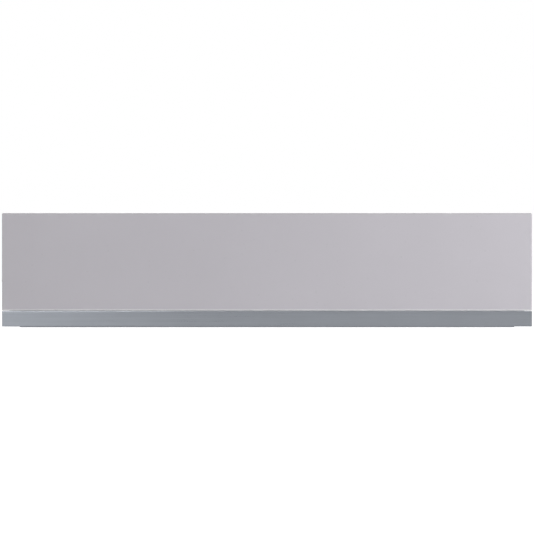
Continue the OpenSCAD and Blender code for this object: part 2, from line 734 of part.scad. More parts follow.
module inner_front() color(steel) difference() {
    block([-carrier_x, y_inner - carrier_t, trim_floor], [carrier_x, y_inner, carrier_z1]);
    for (p = front_fix) hole_y(p.x, y_inner - carrier_t, p.y, carrier_t);
}

// ---- Drawer ----

frame_foot = 14;

module side_frame(side) color(zinc) difference() {
    on_side(side) {
        along_y(y_inner, y_back - y_inner) {
            rect([-frame_x, frame_z], [-frame_in, z_rim_under]);
            rect([-rim_x, z_rim_under - frame_t], [-frame_in, z_rim_under]);
            rect([-frame_x, frame_z], [frame_foot - frame_in, z_pan_rim]);
        }
        block([-frame_x, y_inner, tab_z0 - 8], [frame_tab - frame_in, y_inner + frame_t, tab_z1 + 8]);
    }
    inner_holes(side, frame_x, frame_t);
    for (p = front_fix) hole_y(p.x, y_inner, p.y, frame_t);
}

tub_round = [tub_t + tub_fillet, tub_floor + tub_fillet];
grille = [200, 30];
grille_z = z_rim - 29;
grille_t = 1;
grille_lap = [15, 4];
grille_fix = grille.x / 2 + 8;
grille_bars = 19;
grille_pitch = 10;

// The tub: a pressed steel well with a flat rim that lies on the side frames
module tub() color(steel) difference() {
    pressed(-tub_x, tub_x, tub_y0, tub_y1, tub_corner, concat(
        fillet(tub_round, tub_fillet),
        [[tub_t, z_rim], [-rim_w, z_rim], [-rim_w, z_rim_under], [0, z_rim_under]],
        fillet(tub_round, tub_fillet + tub_t, down = true)
    ));
    block([-grille.x / 2, tub_y1 - 3, grille_z - grille.y / 2],
        [grille.x / 2, tub_y1 + 1, grille_z + grille.y / 2]);
    for (x = [-grille_fix, grille_fix]) hole_y(x, tub_y1 - tub_t, grille_z, tub_t);
}

module air_grille() color(steel) translate([0, tub_y1 - tub_t, grille_z]) rotate([90, 0, 0])
    linear_extrude(grille_t) difference() {
        round_rect(grille.x + 2 * grille_lap.x, grille.y + 2 * grille_lap.y, 4);
        for (i = [0:grille_bars - 1]) translate([(i - (grille_bars - 1) / 2) * grille_pitch, 0]) rotate(90)
            slot(grille.y - 4, grille_pitch / 2);
        for (x = [-grille_fix, grille_fix]) translate([x, 0]) circle(d = screw_hole);
    }

mat_inset = tub_t + tub_fillet + 2;

module anti_slip_mat() color(dark) {
    w = 2 * (tub_x - mat_inset);
    d = tub_y1 - tub_y0 - 2 * mat_inset;
    translate([0, (tub_y0 + tub_y1) / 2, tub_floor]) difference() {
        linear_extrude(mat_t) round_rect(w, d, tub_corner - mat_inset);
        translate([0, -d / 2, -e]) cylinder(r = 14, h = mat_t + 2 * e);
        for (i = [-5:5]) translate([0, i * d / 12, mat_t - 0.6]) linear_extrude(1) slot(w - 40, 4);
    }
}

element_inset = 60;
element_w = 2 * (tub_x - element_inset) - element_pitch;
element_y0 = (tub_y0 + tub_y1) / 2 - (element_runs - 1) * element_pitch / 2;
element_y = [for (i = [0:element_runs - 1]) element_y0 + i * element_pitch];
pin_l = 12;

module heating_element() color([0.45, 0.44, 0.43]) translate([0, 0, z_element]) {
    for (y = element_y) translate([-element_w / 2, y, 0]) rotate([0, 90, 0])
        cylinder(d = element_d, h = element_w);
    for (i = [0:element_runs - 2]) translate([(i % 2 == 0 ? 1 : -1) * element_w / 2,
            element_y[i] + element_pitch / 2, 0]) rotate(i % 2 == 0 ? -90 : 90)
        rotate_extrude(angle = 180) translate([element_pitch / 2, 0]) circle(d = element_d);
    for (y = [element_y[0], element_y[element_runs - 1]])
        translate([-element_w / 2 - pin_l, y, 0]) rotate([0, 90, 0]) cylinder(d = 3, h = pin_l);
}

tray_t = 0.8;
z_tray_top = z_tray + tray_t;
tray_inset = 16;
tray_y0 = y_inner + 18;
clip_x = [for (s = [-1:1]) s * (element_w / 2 - 22)];
clip_w = element_d + 4;

module element_clips() color(steel) for (x = clip_x, y = element_y) translate([x, y, 0]) difference() {
    union() {
        block([-4, -clip_w / 2, z_tray_top], [4, clip_w / 2, z_element]);
        block([-4, -clip_w / 2 - 4, z_tray_top], [4, clip_w / 2 + 4, z_tray_top + tray_t]);
    }
    block([-5, 1 - clip_w / 2, z_tray_top + tray_t], [5, clip_w / 2 - 1, z_element - element_d / 2 - 1]);
    translate([-5, 0, z_element]) rotate([0, 90, 0]) cylinder(r = element_d / 2 + running, h = 10);
}

module reflector_tray() color(steel)
    pressed(tray_inset - frame_in, frame_in - tray_inset, tray_y0, tub_y1, 12, [
        [tray_t + 2, z_tray_top], [tray_t, z_tray_top + 3], [0, z_tray_top + 3], [2, z_tray]]);

module insulation_board() color([0.9, 0.88, 0.82])
    block([tray_inset + 3 - frame_in, tray_y0 + 2, z_board], [frame_in - tray_inset - 3, tub_y1 - 1, z_tray]);

pan_vents = 8;
pan_vent_x = 90;
small_vent_l = 22;
small_vent_pitch = 14;

// A shallow pan whose rim lies on the side frames' feet
module underpan() color(zinc) difference() {
    pressed(1 - frame_in, frame_in - 1, y_inner + fit, y_back, 18, [
        [15.8, z_board], [14.2, z_pan_rim + pan_t], [0, z_pan_rim + pan_t],
        [0, z_pan_rim], [13.8, z_pan_rim], [15.4, z_pan]]);
    for (x = [-pan_vent_x, pan_vent_x])
        vents_z(x, y_back - 34, z_pan, pan_t, pan_vents, small_vent_pitch, small_vent_l);
}

// ---- Blower ----

box_right = 140;
box_gap = rim_w + fit;
blower_y = tub_y1 + blower_d / 2 - 1;
blower_drop = 20;
blower_z = grille_z - blower_drop;
impeller_x0 = -100;
impeller_x1 = impeller_x0 + impeller_l;
end_gap = 3;
scroll_gap = 2;
scroll_t = 1;
scroll_x0 = impeller_x0 - end_gap;
scroll_x1 = impeller_x1 + end_gap;
shaft_d = 5;
bush_d = 12;
bush_lip = 3;
box_lip = 12;
lid_inset = [23.6, 10];
lid_fix = [lid_inset[0] - frame_in, -80, box_right - lid_inset[1]];
lid_fix_y = y_back - box_lip / 2;
z_box = z_pan_rim + pan_t;

module blower_box() color(zinc) difference() {
    union() {
        block([1 - frame_in, y_back - frame_t, z_box], [frame_in - 1, y_back, z_rim_under]);
        block([box_right, tub_y1 + fit, z_box], [box_right + frame_t, y_back, z_rim_under]);
        block([-frame_in, y_back - box_lip, z_rim_under - frame_t],
            [box_right + frame_t, y_back, z_rim_under]);
    }
    block([lead_x - lead_room, y_back - 5, lead_z - lead_room],
        [lead_x + lead_room, y_back + 5, lead_z + lead_room]);
    for (x = [-strike_fix, strike_fix]) hole_y(x, y_back - frame_t, latch_z, frame_t);
    for (x = lid_fix) hole_z(x, lid_fix_y, z_rim_under - frame_t, frame_t);
}

lid_vents = 16;
lid_vent_x = impeller_x0 + impeller_l / 2 - 15;

module blower_lid() color(zinc) difference() {
    block([-rim_x, tub_y1 + box_gap, z_rim_under], [box_right + frame_t, y_back, z_rim]);
    vents_z(lid_vent_x, tub_y1 + box_gap + 18, z_rim_under, tub_t, lid_vents, small_vent_pitch, small_vent_l);
    for (x = lid_fix) hole_z(x, lid_fix_y, z_rim_under, tub_t);
}

// The scroll's wall opens from under the impeller, round the rear, to the top
scroll_a0 = -75;
scroll_a1 = 100;
scroll_growth = 8;
scroll_drop = 26;
function scroll_r(a) = impeller_d / 2 + scroll_gap
    + scroll_growth * (a - scroll_a0) / (scroll_a1 - scroll_a0);
function scroll_arc(dr) = [for (i = [0:14]) let (a = scroll_a0 + (scroll_a1 - scroll_a0) * i / 14)
    [(scroll_r(a) + dr) * cos(a), (scroll_r(a) + dr) * sin(a)]];

// The outlet and the tongue under it, counted from the impeller's axis
outlet_y = tub_y1 + fit - blower_y;
outlet_z = [grille_z - grille.y / 2 - 1 - blower_z, grille_z + grille.y / 2 + 1 - blower_z];
tongue_y = -impeller_d / 2 - scroll_gap;

module scroll_outline() {
    inner = scroll_arc(0);
    outer = scroll_arc(scroll_t);
    polygon(concat(inner, [[outlet_y, outlet_z[1]], [outlet_y, outlet_z[1] + scroll_t]],
        [for (i = [len(outer) - 1:-1:0]) outer[i]]));
    polygon([[outlet_y, outlet_z[0]], [tongue_y - 1.5, outlet_z[0]], [tongue_y, outlet_z[0] - 7],
        [tongue_y - 1, outlet_z[0] - 7], [tongue_y - 2.5, outlet_z[0] - 1], [outlet_y, outlet_z[0] - 1]]);
}

module scroll_end(x) along_x(x, scroll_t) difference() {
    rect([outlet_y, -scroll_drop], [y_back - frame_t - fit - blower_y, outlet_z[1] + 3]);
    circle(d = bush_d + 2 * fit);
}

module blower_scroll() color(steel) {
    translate([0, blower_y, blower_z]) {
        along_x(scroll_x0, scroll_x1 - scroll_x0) scroll_outline();
        scroll_end(scroll_x0 - scroll_t);
        scroll_end(scroll_x1);
    }
    // feet that stand on the pan's rim
    for (x = [scroll_x0 - scroll_t, scroll_x1])
        block([x, y_back - 13, z_box], [x + scroll_t, y_back - frame_t - fit, blower_z - scroll_drop + 1]);
}

module blower_bush() color(dark) translate([scroll_x0 - scroll_t - bush_lip - fit, blower_y, blower_z])
    rotate([0, 90, 0]) difference() {
        union() {
            cylinder(d = bush_d, h = 2 * bush_lip);
            cylinder(d = bush_d + 4, h = bush_lip);
        }
        translate([0, 0, -e]) cylinder(d = shaft_d + 2 * running, h = 2 * (bush_lip + e));
    }

// One blade: a thin arc from the impeller's inner to its outer radius
module blade() {
    r1 = impeller_d / 2 - 0.3;
    r0 = impeller_d / 2 * 0.74;
    half = [0, 0.45];
    line = [for (i = [0:4]) let (r = r0 + (r1 - r0) * i / 4, a = i * i) [r * cos(a), r * sin(a)]];
    polygon(concat([for (p = line) p + half], [for (i = [4:-1:0]) line[i] - half]));
}

disc_t = 1.5;
rotor_x = scroll_x1 + 11;
core_t = 16;
rotor_d = 20;
shaft_tail = 14;

module impeller() color(dark) translate([0, blower_y, blower_z]) {
    for (x = [impeller_x0, (impeller_x0 + impeller_x1) / 2, impeller_x1 - disc_t])
        along_x(x, disc_t) circle(d = impeller_d);
    for (i = [0:blades - 1]) along_x(impeller_x0 + disc_t / 2, impeller_l - disc_t)
        rotate(i * 360 / blades) blade();
    along_x(scroll_x0 - 6, impeller_x0 - scroll_x0 + 6 + disc_t / 2) circle(d = shaft_d);
    along_x(impeller_x1 - disc_t / 2, rotor_x - impeller_x1 + core_t + shaft_tail) circle(d = shaft_d);
}

module motor_rotor() color([0.5, 0.5, 0.52]) translate([0, blower_y, blower_z]) along_x(rotor_x, core_t)
    difference() {
        circle(d = rotor_d);
        circle(d = shaft_d);
    }

core_w = impeller_d + 2;
core_top = 17;
core_drop = 34;
leg = 12;
window_z = -13;
coil_out = 6;
stator_fix = [core_w / 2 - 5, core_top - 5];
spacer_d = 7;
bracket_t = 4;
bracket_x = [rotor_x - bracket_t - 1, rotor_x + core_t + 1];

// Puts a flat outline, drawn round the motor's axis, at x
module on_motor(x, l) translate([0, blower_y, blower_z]) along_x(x, l) children();

// The places of the motor's two screws
module stator_screws() for (s = [-1, 1]) translate([s * stator_fix.x, stator_fix.y]) children();

// A shaded-pole core: plates round the rotor, and a leg under it that carries the coil
module motor_core() color([0.45, 0.46, 0.48]) on_motor(rotor_x, core_t) difference() {
    rect([-core_w / 2, -core_drop], [core_w / 2, core_top]);
    circle(d = rotor_d + 1);
    rect([-core_w / 2 + leg, -core_drop + leg], [core_w / 2 - leg, window_z]);
    stator_screws() circle(d = screw_hole);
    for (s = [-1, 1]) translate([s * 8, 8]) rotate(s * 45) square([2, 7], center = true);
}

module motor_coil() color([0.62, 0.33, 0.16]) difference() {
    on_motor(rotor_x - coil_out, core_t + 2 * coil_out)
        rect([-core_w / 2 + leg + fit, -core_drop - coil_out], [core_w / 2 - leg - fit, window_z - 1]);
    on_motor(rotor_x - fit, core_t + 2 * fit)
        rect([-core_w / 2, -core_drop - fit], [core_w / 2, -core_drop + leg + fit]);
}

// A bearing bridge: a hub on two arms
module bridge() difference() {
    union() {
        for (s = [-1, 1]) polygon([[0, 5], [s * stator_fix.x, stator_fix.y + 4],
            [s * (stator_fix.x + 3), stator_fix.y - 3], [0, -5]]);
        stator_screws() circle(d = 9);
        circle(d = 14);
    }
    circle(d = shaft_d + 2 * running);
    stator_screws() circle(d = screw_hole);
}

module spacers(x, l) on_motor(x, l) difference() {
    stator_screws() circle(d = spacer_d);
    stator_screws() circle(d = screw_hole);
}

module motor_brackets() color([0.7, 0.71, 0.72]) {
    for (x = bracket_x) on_motor(x, bracket_t) bridge();
    spacers(scroll_x1 + scroll_t, bracket_x[0] - scroll_x1 - scroll_t);
    spacers(rotor_x - 1, 1);
    spacers(rotor_x + core_t, 1);
}

// ---- Controls ----

knob_x = frame_in - knob_inset;
lamp_x = knob_x - 30;
switch_x = knob_x - 55;
panel_t = 1.2;
panel_y0 = y_inner + frame_t + fit;
panel_y1 = tub_y0 - fit;
control_y = (panel_y0 + panel_t + tub_y0 - rim_w) / 2;
thermostat_d = 6;
thermostat_h = 24;
switch_cut = [27, 14];
flutes = 18;
z_panel_under = z_panel - panel_t;

module control_panel() color(steel) difference() {
    along_x(fit - frame_in, 2 * (frame_in - fit)) {
        rect([panel_y0, z_panel_under], [panel_y1, z_panel]);
        rect([panel_y1 - panel_t, z_panel_under - 10], [panel_y1, z_panel]);
        rect([panel_y0, z_panel_under], [panel_y0 + panel_t, z_rim_under - 2]);
    }
    hole_z(knob_x, control_y, z_panel_under, panel_t, 11);
    hole_z(lamp_x, control_y, z_panel_under, panel_t, 7);
    translate([switch_x, control_y, z_panel_under - e]) linear_extrude(panel_t + 2 * e)
        square(switch_cut, center = true);
}

module temperature_knob() color(dark) translate([knob_x, control_y, z_panel + fit]) difference() {
    union() {
        cylinder(d = knob_d, h = 2);
        cylinder(d = knob_d - 4, h = knob_h - 1);
        translate([0, 0, knob_h - 1]) cylinder(d1 = knob_d - 4, d2 = knob_d - 6, h = 1);
    }
    for (i = [0:flutes - 1]) rotate(i * 360 / flutes) translate([knob_d / 2 - 1.7, 0, 2])
        cylinder(d = 1.8, h = knob_h, $fn = 16);
    block([-0.8, knob_d / 2 - 9, knob_h - 0.6], [0.8, knob_d / 2, knob_h + 1]);
    translate([0, 0, -e]) cylinder(d = thermostat_d, h = knob_h - 3);
}

module thermostat_body() color([0.75, 0.74, 0.7]) translate([knob_x, control_y, z_panel_under]) {
    difference() {
        union() {
            block([-17, -13, -thermostat_h - 2], [17, 13, -2]);
            translate([0, 0, -2 - e]) cylinder(d = 18, h = 2);
            translate([0, 0, -2]) cylinder(d = 10, h = 2 + panel_t - 0.2);
        }
        translate([0, 0, -16]) cylinder(d = thermostat_d + 2 * running, h = 30);
    }
    for (x = [-10, 10]) block([x - 3, -0.4, -thermostat_h - 8], [x + 3, 0.4, -thermostat_h - 2 + e]);
}

module thermostat_shaft() color(steel) translate([knob_x, control_y, z_panel_under - 14])
    cylinder(d = thermostat_d, h = 14 + panel_t + fit + knob_h - 3 - e);

rocker_l = 22;
rocker_w = 9;
rocker_tilt = 7;
rocker_pin = 2;
z_rocker = z_panel - 2;

module switch_bezel() color(dark) translate([switch_x, control_y, 0]) {
    difference() {
        union() {
            translate([0, 0, z_panel]) linear_extrude(1.8) round_rect(switch_cut.x + 4, switch_cut.y + 3, 2);
            translate([0, 0, z_panel - 18]) linear_extrude(18)
                square([switch_cut.x - 2 * fit, switch_cut.y - 2 * fit], center = true);
        }
        translate([0, 0, z_panel - 8]) linear_extrude(20)
            square([rocker_l + 1.4, rocker_w + 0.8], center = true);
        translate([0, 0, z_rocker]) rotate([90, 0, 0])
            cylinder(r = rocker_pin / 2 + running, h = rocker_w + 3, center = true);
    }
    for (x = [-8, 0, 8]) block([x - 2.4, -0.4, z_panel - 25], [x + 2.4, 0.4, z_panel - 18 + e]);
}

// The rocker rests with its off side pressed, so it is drawn turned by rocker_tilt about its pin
module switch_rocker() color([0.75, 0.1, 0.08]) translate([switch_x, control_y, z_rocker])
    rotate([0, rocker_tilt, 0]) {
        along_y(-rocker_w / 2, rocker_w) polygon([[-rocker_l / 2, 1.2], [-rocker_l / 2, 4.6], [0, 3.2],
            [rocker_l / 2, 4.6], [rocker_l / 2, 1.2], [3, -3], [-3, -3]]);
        rotate([90, 0, 0]) cylinder(d = rocker_pin, h = rocker_w + 2, center = true);
    }

module indicator_lamp() color([0.9, 0.5, 0.1]) translate([lamp_x, control_y, z_panel]) {
    cylinder(d = 9, h = 1);
    translate([0, 0, 1]) cylinder(d1 = 8, d2 = 5, h = 1.4);
    translate([0, 0, -16]) cylinder(d = 6.6, h = 16);
}

cutout = [63.6 - frame_in, tub_y1 + 22];

// A bimetal cut-out, seated on the underpan
module thermal_cutout() color([0.85, 0.83, 0.78]) translate([cutout.x, cutout.y, z_board]) {
    cylinder(d = 24, h = 1);
    cylinder(d = 16, h = 11);
    for (x = [-5, 5]) block([x - 3, -0.4, 10], [x + 3, 0.4, 19]);
}

module drawer_screws() color(steel) {
    for (s = [-1, 1], y = inner_fix) translate([s * frame_in, inner_y0 + y, slide_z]) rotate([0, -s * 90, 0])
        rivet(frame_t + runner_web);
    for (p = front_fix) translate([p.x, y_inner + frame_t, p.y]) rotate([-90, 0, 0]) flat_screw(6);
    for (x = lid_fix) translate([x, lid_fix_y, z_rim]) flat_screw(6);
    for (x = [-strike_fix, strike_fix]) translate([x, y_back + strike_t, latch_z]) rotate([-90, 0, 0])
        flat_screw(6);
    for (x = [-grille_fix, grille_fix]) translate([x, tub_y1 - tub_t - grille_t, grille_z]) rotate([90, 0, 0])
        flat_screw(6);
    on_motor(scroll_x1 + scroll_t, bracket_x[1] + bracket_t - scroll_x1 - scroll_t)
        stator_screws() circle(d = screw_d);
}

base_pan();
side_wall(-1);  // side_wall_left
side_wall(1);  // side_wall_right
rear_wall();
top_cover();
front_rail();
runner_outer(-1);  // runner_outer_left
runner_outer(1);  // runner_outer_right
latch_body();
latch_spring();
cable_gland();
terminal_box();
housing_screws();
front_buffers();
coiled_lead();
latch_plunger();
glass_panel();
trim_strip();
trim_end_plugs();
glass_tape();
front_carrier();
inner_front();
side_frame(-1);  // side_frame_left
side_frame(1);  // side_frame_right
tub();
air_grille();
anti_slip_mat();
heating_element();
element_clips();
reflector_tray();
insulation_board();
underpan();
blower_box();
blower_lid();
blower_scroll();
blower_bush();
motor_core();
motor_coil();
motor_brackets();
control_panel();
switch_bezel();
indicator_lamp();
thermostat_body();
thermal_cutout();
strike_plate();
lead_clamp();
drawer_screws();
runner_inner(-1);  // runner_inner_left
runner_inner(1);  // runner_inner_right
runner_mid(-1);  // runner_mid_left
runner_mid(1);  // runner_mid_right
cage_outer(-1);  // cage_outer_left
cage_outer(1);  // cage_outer_right
cage_inner(-1);  // cage_inner_left
cage_inner(1);  // cage_inner_right
impeller();
motor_rotor();
temperature_knob();
thermostat_shaft();
switch_rocker();
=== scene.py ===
"""Dresses the handleless warming drawer: finishes for its sheet metal, glass and mouldings, and the
pieces that need a finer shape than the solids have. The frame is in metres. Pieces are drawn in
millimetres, and keep() brings them to metres."""

import json
import math

import bmesh
import bpy
from mathutils import Matrix, Vector


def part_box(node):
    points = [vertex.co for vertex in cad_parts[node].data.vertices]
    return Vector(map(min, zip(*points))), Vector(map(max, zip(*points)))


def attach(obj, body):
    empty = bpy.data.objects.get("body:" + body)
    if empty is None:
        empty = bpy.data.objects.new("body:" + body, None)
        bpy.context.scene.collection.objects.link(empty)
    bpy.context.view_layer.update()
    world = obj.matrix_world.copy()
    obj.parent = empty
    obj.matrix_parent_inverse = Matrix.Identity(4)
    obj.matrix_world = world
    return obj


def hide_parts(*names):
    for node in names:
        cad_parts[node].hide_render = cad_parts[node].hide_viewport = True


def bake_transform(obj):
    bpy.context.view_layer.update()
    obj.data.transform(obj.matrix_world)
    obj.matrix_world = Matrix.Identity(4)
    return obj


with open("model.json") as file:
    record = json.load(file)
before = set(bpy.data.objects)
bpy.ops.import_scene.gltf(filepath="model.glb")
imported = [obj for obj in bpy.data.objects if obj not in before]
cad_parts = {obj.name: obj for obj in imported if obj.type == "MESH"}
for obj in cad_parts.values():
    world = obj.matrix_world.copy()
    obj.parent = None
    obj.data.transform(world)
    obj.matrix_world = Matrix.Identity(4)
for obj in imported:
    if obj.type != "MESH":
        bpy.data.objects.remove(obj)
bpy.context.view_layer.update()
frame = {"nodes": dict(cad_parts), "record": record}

MM = 0.001
NODES = frame["nodes"]
BODY_OF = {n: b for b, names in frame["record"]["behaviour"]["bodies"].items() for n in names}
SLOT_OF = {s["node"]: s["material_slot"] for s in frame["record"]["subparts"]}


def box_mm(node):
    """A node's lowest and highest corners, in millimetres."""
    low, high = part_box(node)
    return low / MM, high / MM


# ---- Camera ----

# A long lens, far off and level, so that the front shows almost no perspective
LENS = 400
SENSOR = 36
CAMERA_AWAY = 6.661
CAMERA_HEIGHT = 0.06795
FAR_END = 60

GLASS_LOW, GLASS_HIGH = box_mm("glass_panel")
TRIM_LOW, TRIM_HIGH = box_mm("trim_strip")

camera = bpy.data.objects.new("camera", bpy.data.cameras.new("camera"))
camera.data.lens = LENS
camera.data.sensor_width = SENSOR
camera.data.clip_end = FAR_END
camera.location = (0, GLASS_LOW.y * MM - CAMERA_AWAY, CAMERA_HEIGHT)
camera.rotation_euler = (math.radians(90), 0, 0)
bpy.context.scene.collection.objects.link(camera)
bpy.context.scene.camera = camera


# ---- Finishes ----

class Finish:
    """One material. Its patterns are laid in the object's own metres."""

    def __init__(self, name, colour, rough, metal=0.0, **sockets):
        self.material = bpy.data.materials.new(name)
        self.material.use_nodes = True
        self.tree = self.material.node_tree
        self.shader = self.tree.nodes["Principled BSDF"]
        self.shader.inputs["Base Color"].default_value = (*colour, 1)
        self.shader.inputs["Metallic"].default_value = metal
        self.shader.inputs["Roughness"].default_value = rough
        for socket, value in sockets.items():
            self.shader.inputs[socket.replace("_", " ")].default_value = value
        self.place = self.add("ShaderNodeTexCoord").outputs["Object"]

    def feed(self, socket, value):
        """Links a pattern to a socket, or sets a plain value there."""
        if isinstance(value, bpy.types.NodeSocket):
            self.tree.links.new(value, socket)
        else:
            socket.default_value = value

    def add(self, kind, feeds=None, **settings):
        node = self.tree.nodes.new(kind)
        for key, value in settings.items():
            setattr(node, key, value)
        for socket, value in (feeds or {}).items():
            self.feed(node.inputs[socket], value)
        return node

    def scaled(self, x, y, z):
        """The place, with lengths along each axis multiplied."""
        return self.add("ShaderNodeMapping", {"Vector": self.place, "Scale": (x, y, z)}).outputs["Vector"]

    def noise(self, scale, detail, rough=0.55, at=None):
        return self.add("ShaderNodeTexNoise", {
            "Vector": at or self.place, "Scale": scale, "Detail": detail, "Roughness": rough,
        }).outputs["Fac"]

    def cells(self, scale, output, at, random=1.0):
        return self.add("ShaderNodeTexVoronoi", {
            "Vector": at, "Scale": scale, "Randomness": random,
        }).outputs[output]

    def waves(self, scale, distortion, detail, across):
        return self.add("ShaderNodeTexWave", {
            "Vector": self.place, "Scale": scale, "Distortion": distortion, "Detail": detail,
        }, wave_type="BANDS", bands_direction=across).outputs["Fac"]

    def level(self, value, low, high, to_low=0.0, to_high=1.0):
        return self.add("ShaderNodeMapRange", {
            "Value": value, "From Min": low, "From Max": high, "To Min": to_low, "To Max": to_high,
        }).outputs["Result"]

    def maths(self, how, first, second):
        return self.add("ShaderNodeMath", {0: first, 1: second}, operation=how).outputs[0]

    def mixed(self, first, share, second):
        """Two patterns together, of which the first has the given share."""
        return self.maths("ADD", self.maths("MULTIPLY", first, share),
                          self.maths("MULTIPLY", second, 1 - share))

    def shades(self, value, dark, light, low=0.3, high=0.7):
        """The surface's colour runs from dark to light as a pattern goes from low to high."""
        ramp = self.add("ShaderNodeValToRGB", {"Fac": value})
        for stop, at, colour in zip(ramp.color_ramp.elements, (low, high), (dark, light)):
            stop.position = at
            stop.color = (*colour, 1)
        return ramp.outputs["Color"]

    def colour(self, value):
        self.feed(self.shader.inputs["Base Color"], value)

    def rough(self, value, low, high, at_low=0.3, at_high=0.7):
        """The roughness runs from low to high as a pattern goes from at_low to at_high."""
        self.feed(self.shader.inputs["Roughness"], self.level(value, at_low, at_high, low, high))

    def relief(self, height, depth, strength):
        """Raises the surface by up to depth millimetres."""
        bump = self.add("ShaderNodeBump", {
            "Height": height, "Distance": depth * MM, "Strength": strength})
        last = self.shader.inputs["Normal"]
        if last.is_linked:
            self.tree.links.new(last.links[0].from_socket, bump.inputs["Normal"])
        self.tree.links.new(bump.outputs["Normal"], last)


def toned(colour, share):
    """A colour made darker or lighter."""
    return tuple(min(1, part * share) for part in colour)


def enamelled_glass():
    """Glass with grey enamel on its back, which shows through with faint clouds."""
    f = Finish("grey_enamelled_glass", (0.443, 0.426, 0.461), rough=0.30, Coat_Weight=1.0,
               Coat_Roughness=0.03, Coat_IOR=1.5, Specular_IOR_Level=0.3)
    clouds = f.noise(7, detail=2)
    f.colour(f.shades(clouds, (0.437, 0.420, 0.454), (0.449, 0.432, 0.467)))
    f.rough(f.noise(260, detail=4), 0.27, 0.34)
    f.relief(f.noise(900, detail=2), 0.004, 0.4)
    return f.material


def glass_edge(name, dark, light):
    """A polished arris of the glass, ground in fine flats."""
    f = Finish(name, light, rough=0.2, Coat_Weight=0.5, Coat_Roughness=0.1)
    flats = f.noise(90, detail=3, at=f.scaled(1, 0.2, 0.2))
    f.colour(f.shades(flats, dark, light))
    f.rough(flats, 0.15, 0.3)
    return f.material


def brushed(name, dark, light, rough=(0.26, 0.42), spread=0.0):
    """Metal brushed in straight lines along X. Spread draws its highlights out across the lines."""
    f = Finish(name, light, metal=1.0, rough=0.35, Anisotropic=spread, Anisotropic_Rotation=0.25)
    streaks = 2600
    drawn_out = (0.006, 1, 1)
    lines = f.noise(streaks, detail=4, rough=0.7, at=f.scaled(*drawn_out))
    broad = f.noise(streaks / 9, detail=2, at=f.scaled(*drawn_out))
    both = f.mixed(lines, 0.6, broad)
    clouds = f.noise(9, detail=3)
    worn = f.maths("ADD", both, f.level(clouds, 0.3, 0.7, -0.05, 0.05))
    f.colour(f.shades(worn, dark, light, 0.36, 0.64))
    f.rough(f.maths("ADD", both, f.level(clouds, 0.3, 0.7, -0.08, 0.08)), *rough)
    f.relief(lines, 0.004, 0.6)
    return f.material


def galvanised():
    """Zinc-coated sheet: frost-like crystals of slightly different greys, and a few dull stains."""
    f = Finish("galvanised_sheet", (0.392, 0.40, 0.408), metal=0.7, rough=0.55)
    bent = f.add("ShaderNodeTexNoise", {"Vector": f.place, "Scale": 260, "Detail": 2}).outputs["Color"]
    # sockets 0, 6 and 7 are the share and the two colours, and output 2 is their mix
    warped = f.add("ShaderNodeMix", {0: 0.012, 6: f.place, 7: bent}, data_type="RGBA").outputs[2]
    spangle = f.add("ShaderNodeSeparateColor", {"Color": f.cells(150, "Color", warped)}).outputs[0]
    feather = f.noise(700, detail=3, at=f.scaled(1, 0.35, 1))
    frost = f.mixed(spangle, 0.5, feather)
    stains = f.level(f.noise(5, detail=5, rough=0.6), 0.35, 0.75, -0.05, 0.09)
    stained = f.maths("ADD", frost, stains)
    f.colour(f.shades(stained, (0.26, 0.272, 0.285), (0.42, 0.435, 0.45), 0.1, 0.95))
    f.rough(frost, 0.48, 0.66, 0.2, 0.8)
    f.relief(feather, 0.01, 0.3)
    f.relief(spangle, 0.006, 0.25)
    return f.material


def plated(name, dark, light, rolled=False):
    """Bright zinc or hardened steel: a soft shine with faint smears, and rolling marks where asked."""
    f = Finish(name, light, metal=1.0, rough=0.25)
    marks = f.noise(1500, detail=3, at=f.scaled(1, 0.02, 1)) if rolled else f.noise(600, detail=4)
    both = f.mixed(marks, 0.5, f.noise(35, detail=5, rough=0.65))
    f.colour(f.shades(both, dark, light, 0.35, 0.62))
    f.rough(both, 0.18, 0.34)
    f.relief(marks, 0.003, 0.5)
    return f.material


def moulded(name, colour, rough=(0.42, 0.58), grain=2200, depth=0.02, **sockets):
    """A moulding with a fine spark-eroded grain."""
    f = Finish(name, colour, rough=0.5, **sockets)
    grains = f.noise(grain, detail=3, rough=0.6)
    tone = f.noise(28, detail=3)
    f.colour(f.shades(f.mixed(grains, 0.3, tone), toned(colour, 0.86), toned(colour, 1.1)))
    f.rough(grains, *rough)
    f.relief(grains, depth, 0.5)
    return f.material


def mat_silicone():
    """Dull silicone with a regular grid of fine dimples and a little dust."""
    f = Finish("mat_silicone", (0.030, 0.031, 0.034), rough=0.7, Sheen_Weight=0.15,
               Sheen_Roughness=0.5)
    dust = f.noise(380, detail=6, rough=0.7)
    f.colour(f.shades(dust, (0.024, 0.025, 0.028), (0.052, 0.053, 0.057), 0.35, 0.75))
    f.rough(dust, 0.58, 0.8)
    dimples = f.cells(420, "Distance", f.scaled(1, 1, 0.01), random=0.0)
    f.relief(f.level(dimples, 0.1, 0.6), 0.06, 0.6)
    return f.material


def element_sheath():
    """A steel sheath with the bands of blue and brown that heat leaves."""
    f = Finish("heat_tinted_sheath", (0.14, 0.12, 0.11), metal=0.9, rough=0.5)
    bands = f.noise(14, detail=3, at=f.scaled(1, 0.3, 1))
    f.colour(f.shades(bands, (0.07, 0.075, 0.10), (0.24, 0.17, 0.11)))
    f.rough(f.noise(500, detail=4), 0.4, 0.62)
    return f.material


def mineral_board():
    """Pale fibres pressed into a board."""
    f = Finish("pressed_mineral_board", (0.72, 0.69, 0.62), rough=0.95)
    fibres = f.noise(900, detail=5, rough=0.7, at=f.scaled(0.25, 1, 1))
    f.colour(f.shades(fibres, (0.56, 0.53, 0.46), (0.80, 0.78, 0.72)))
    f.relief(fibres, 0.25, 0.8)
    return f.material


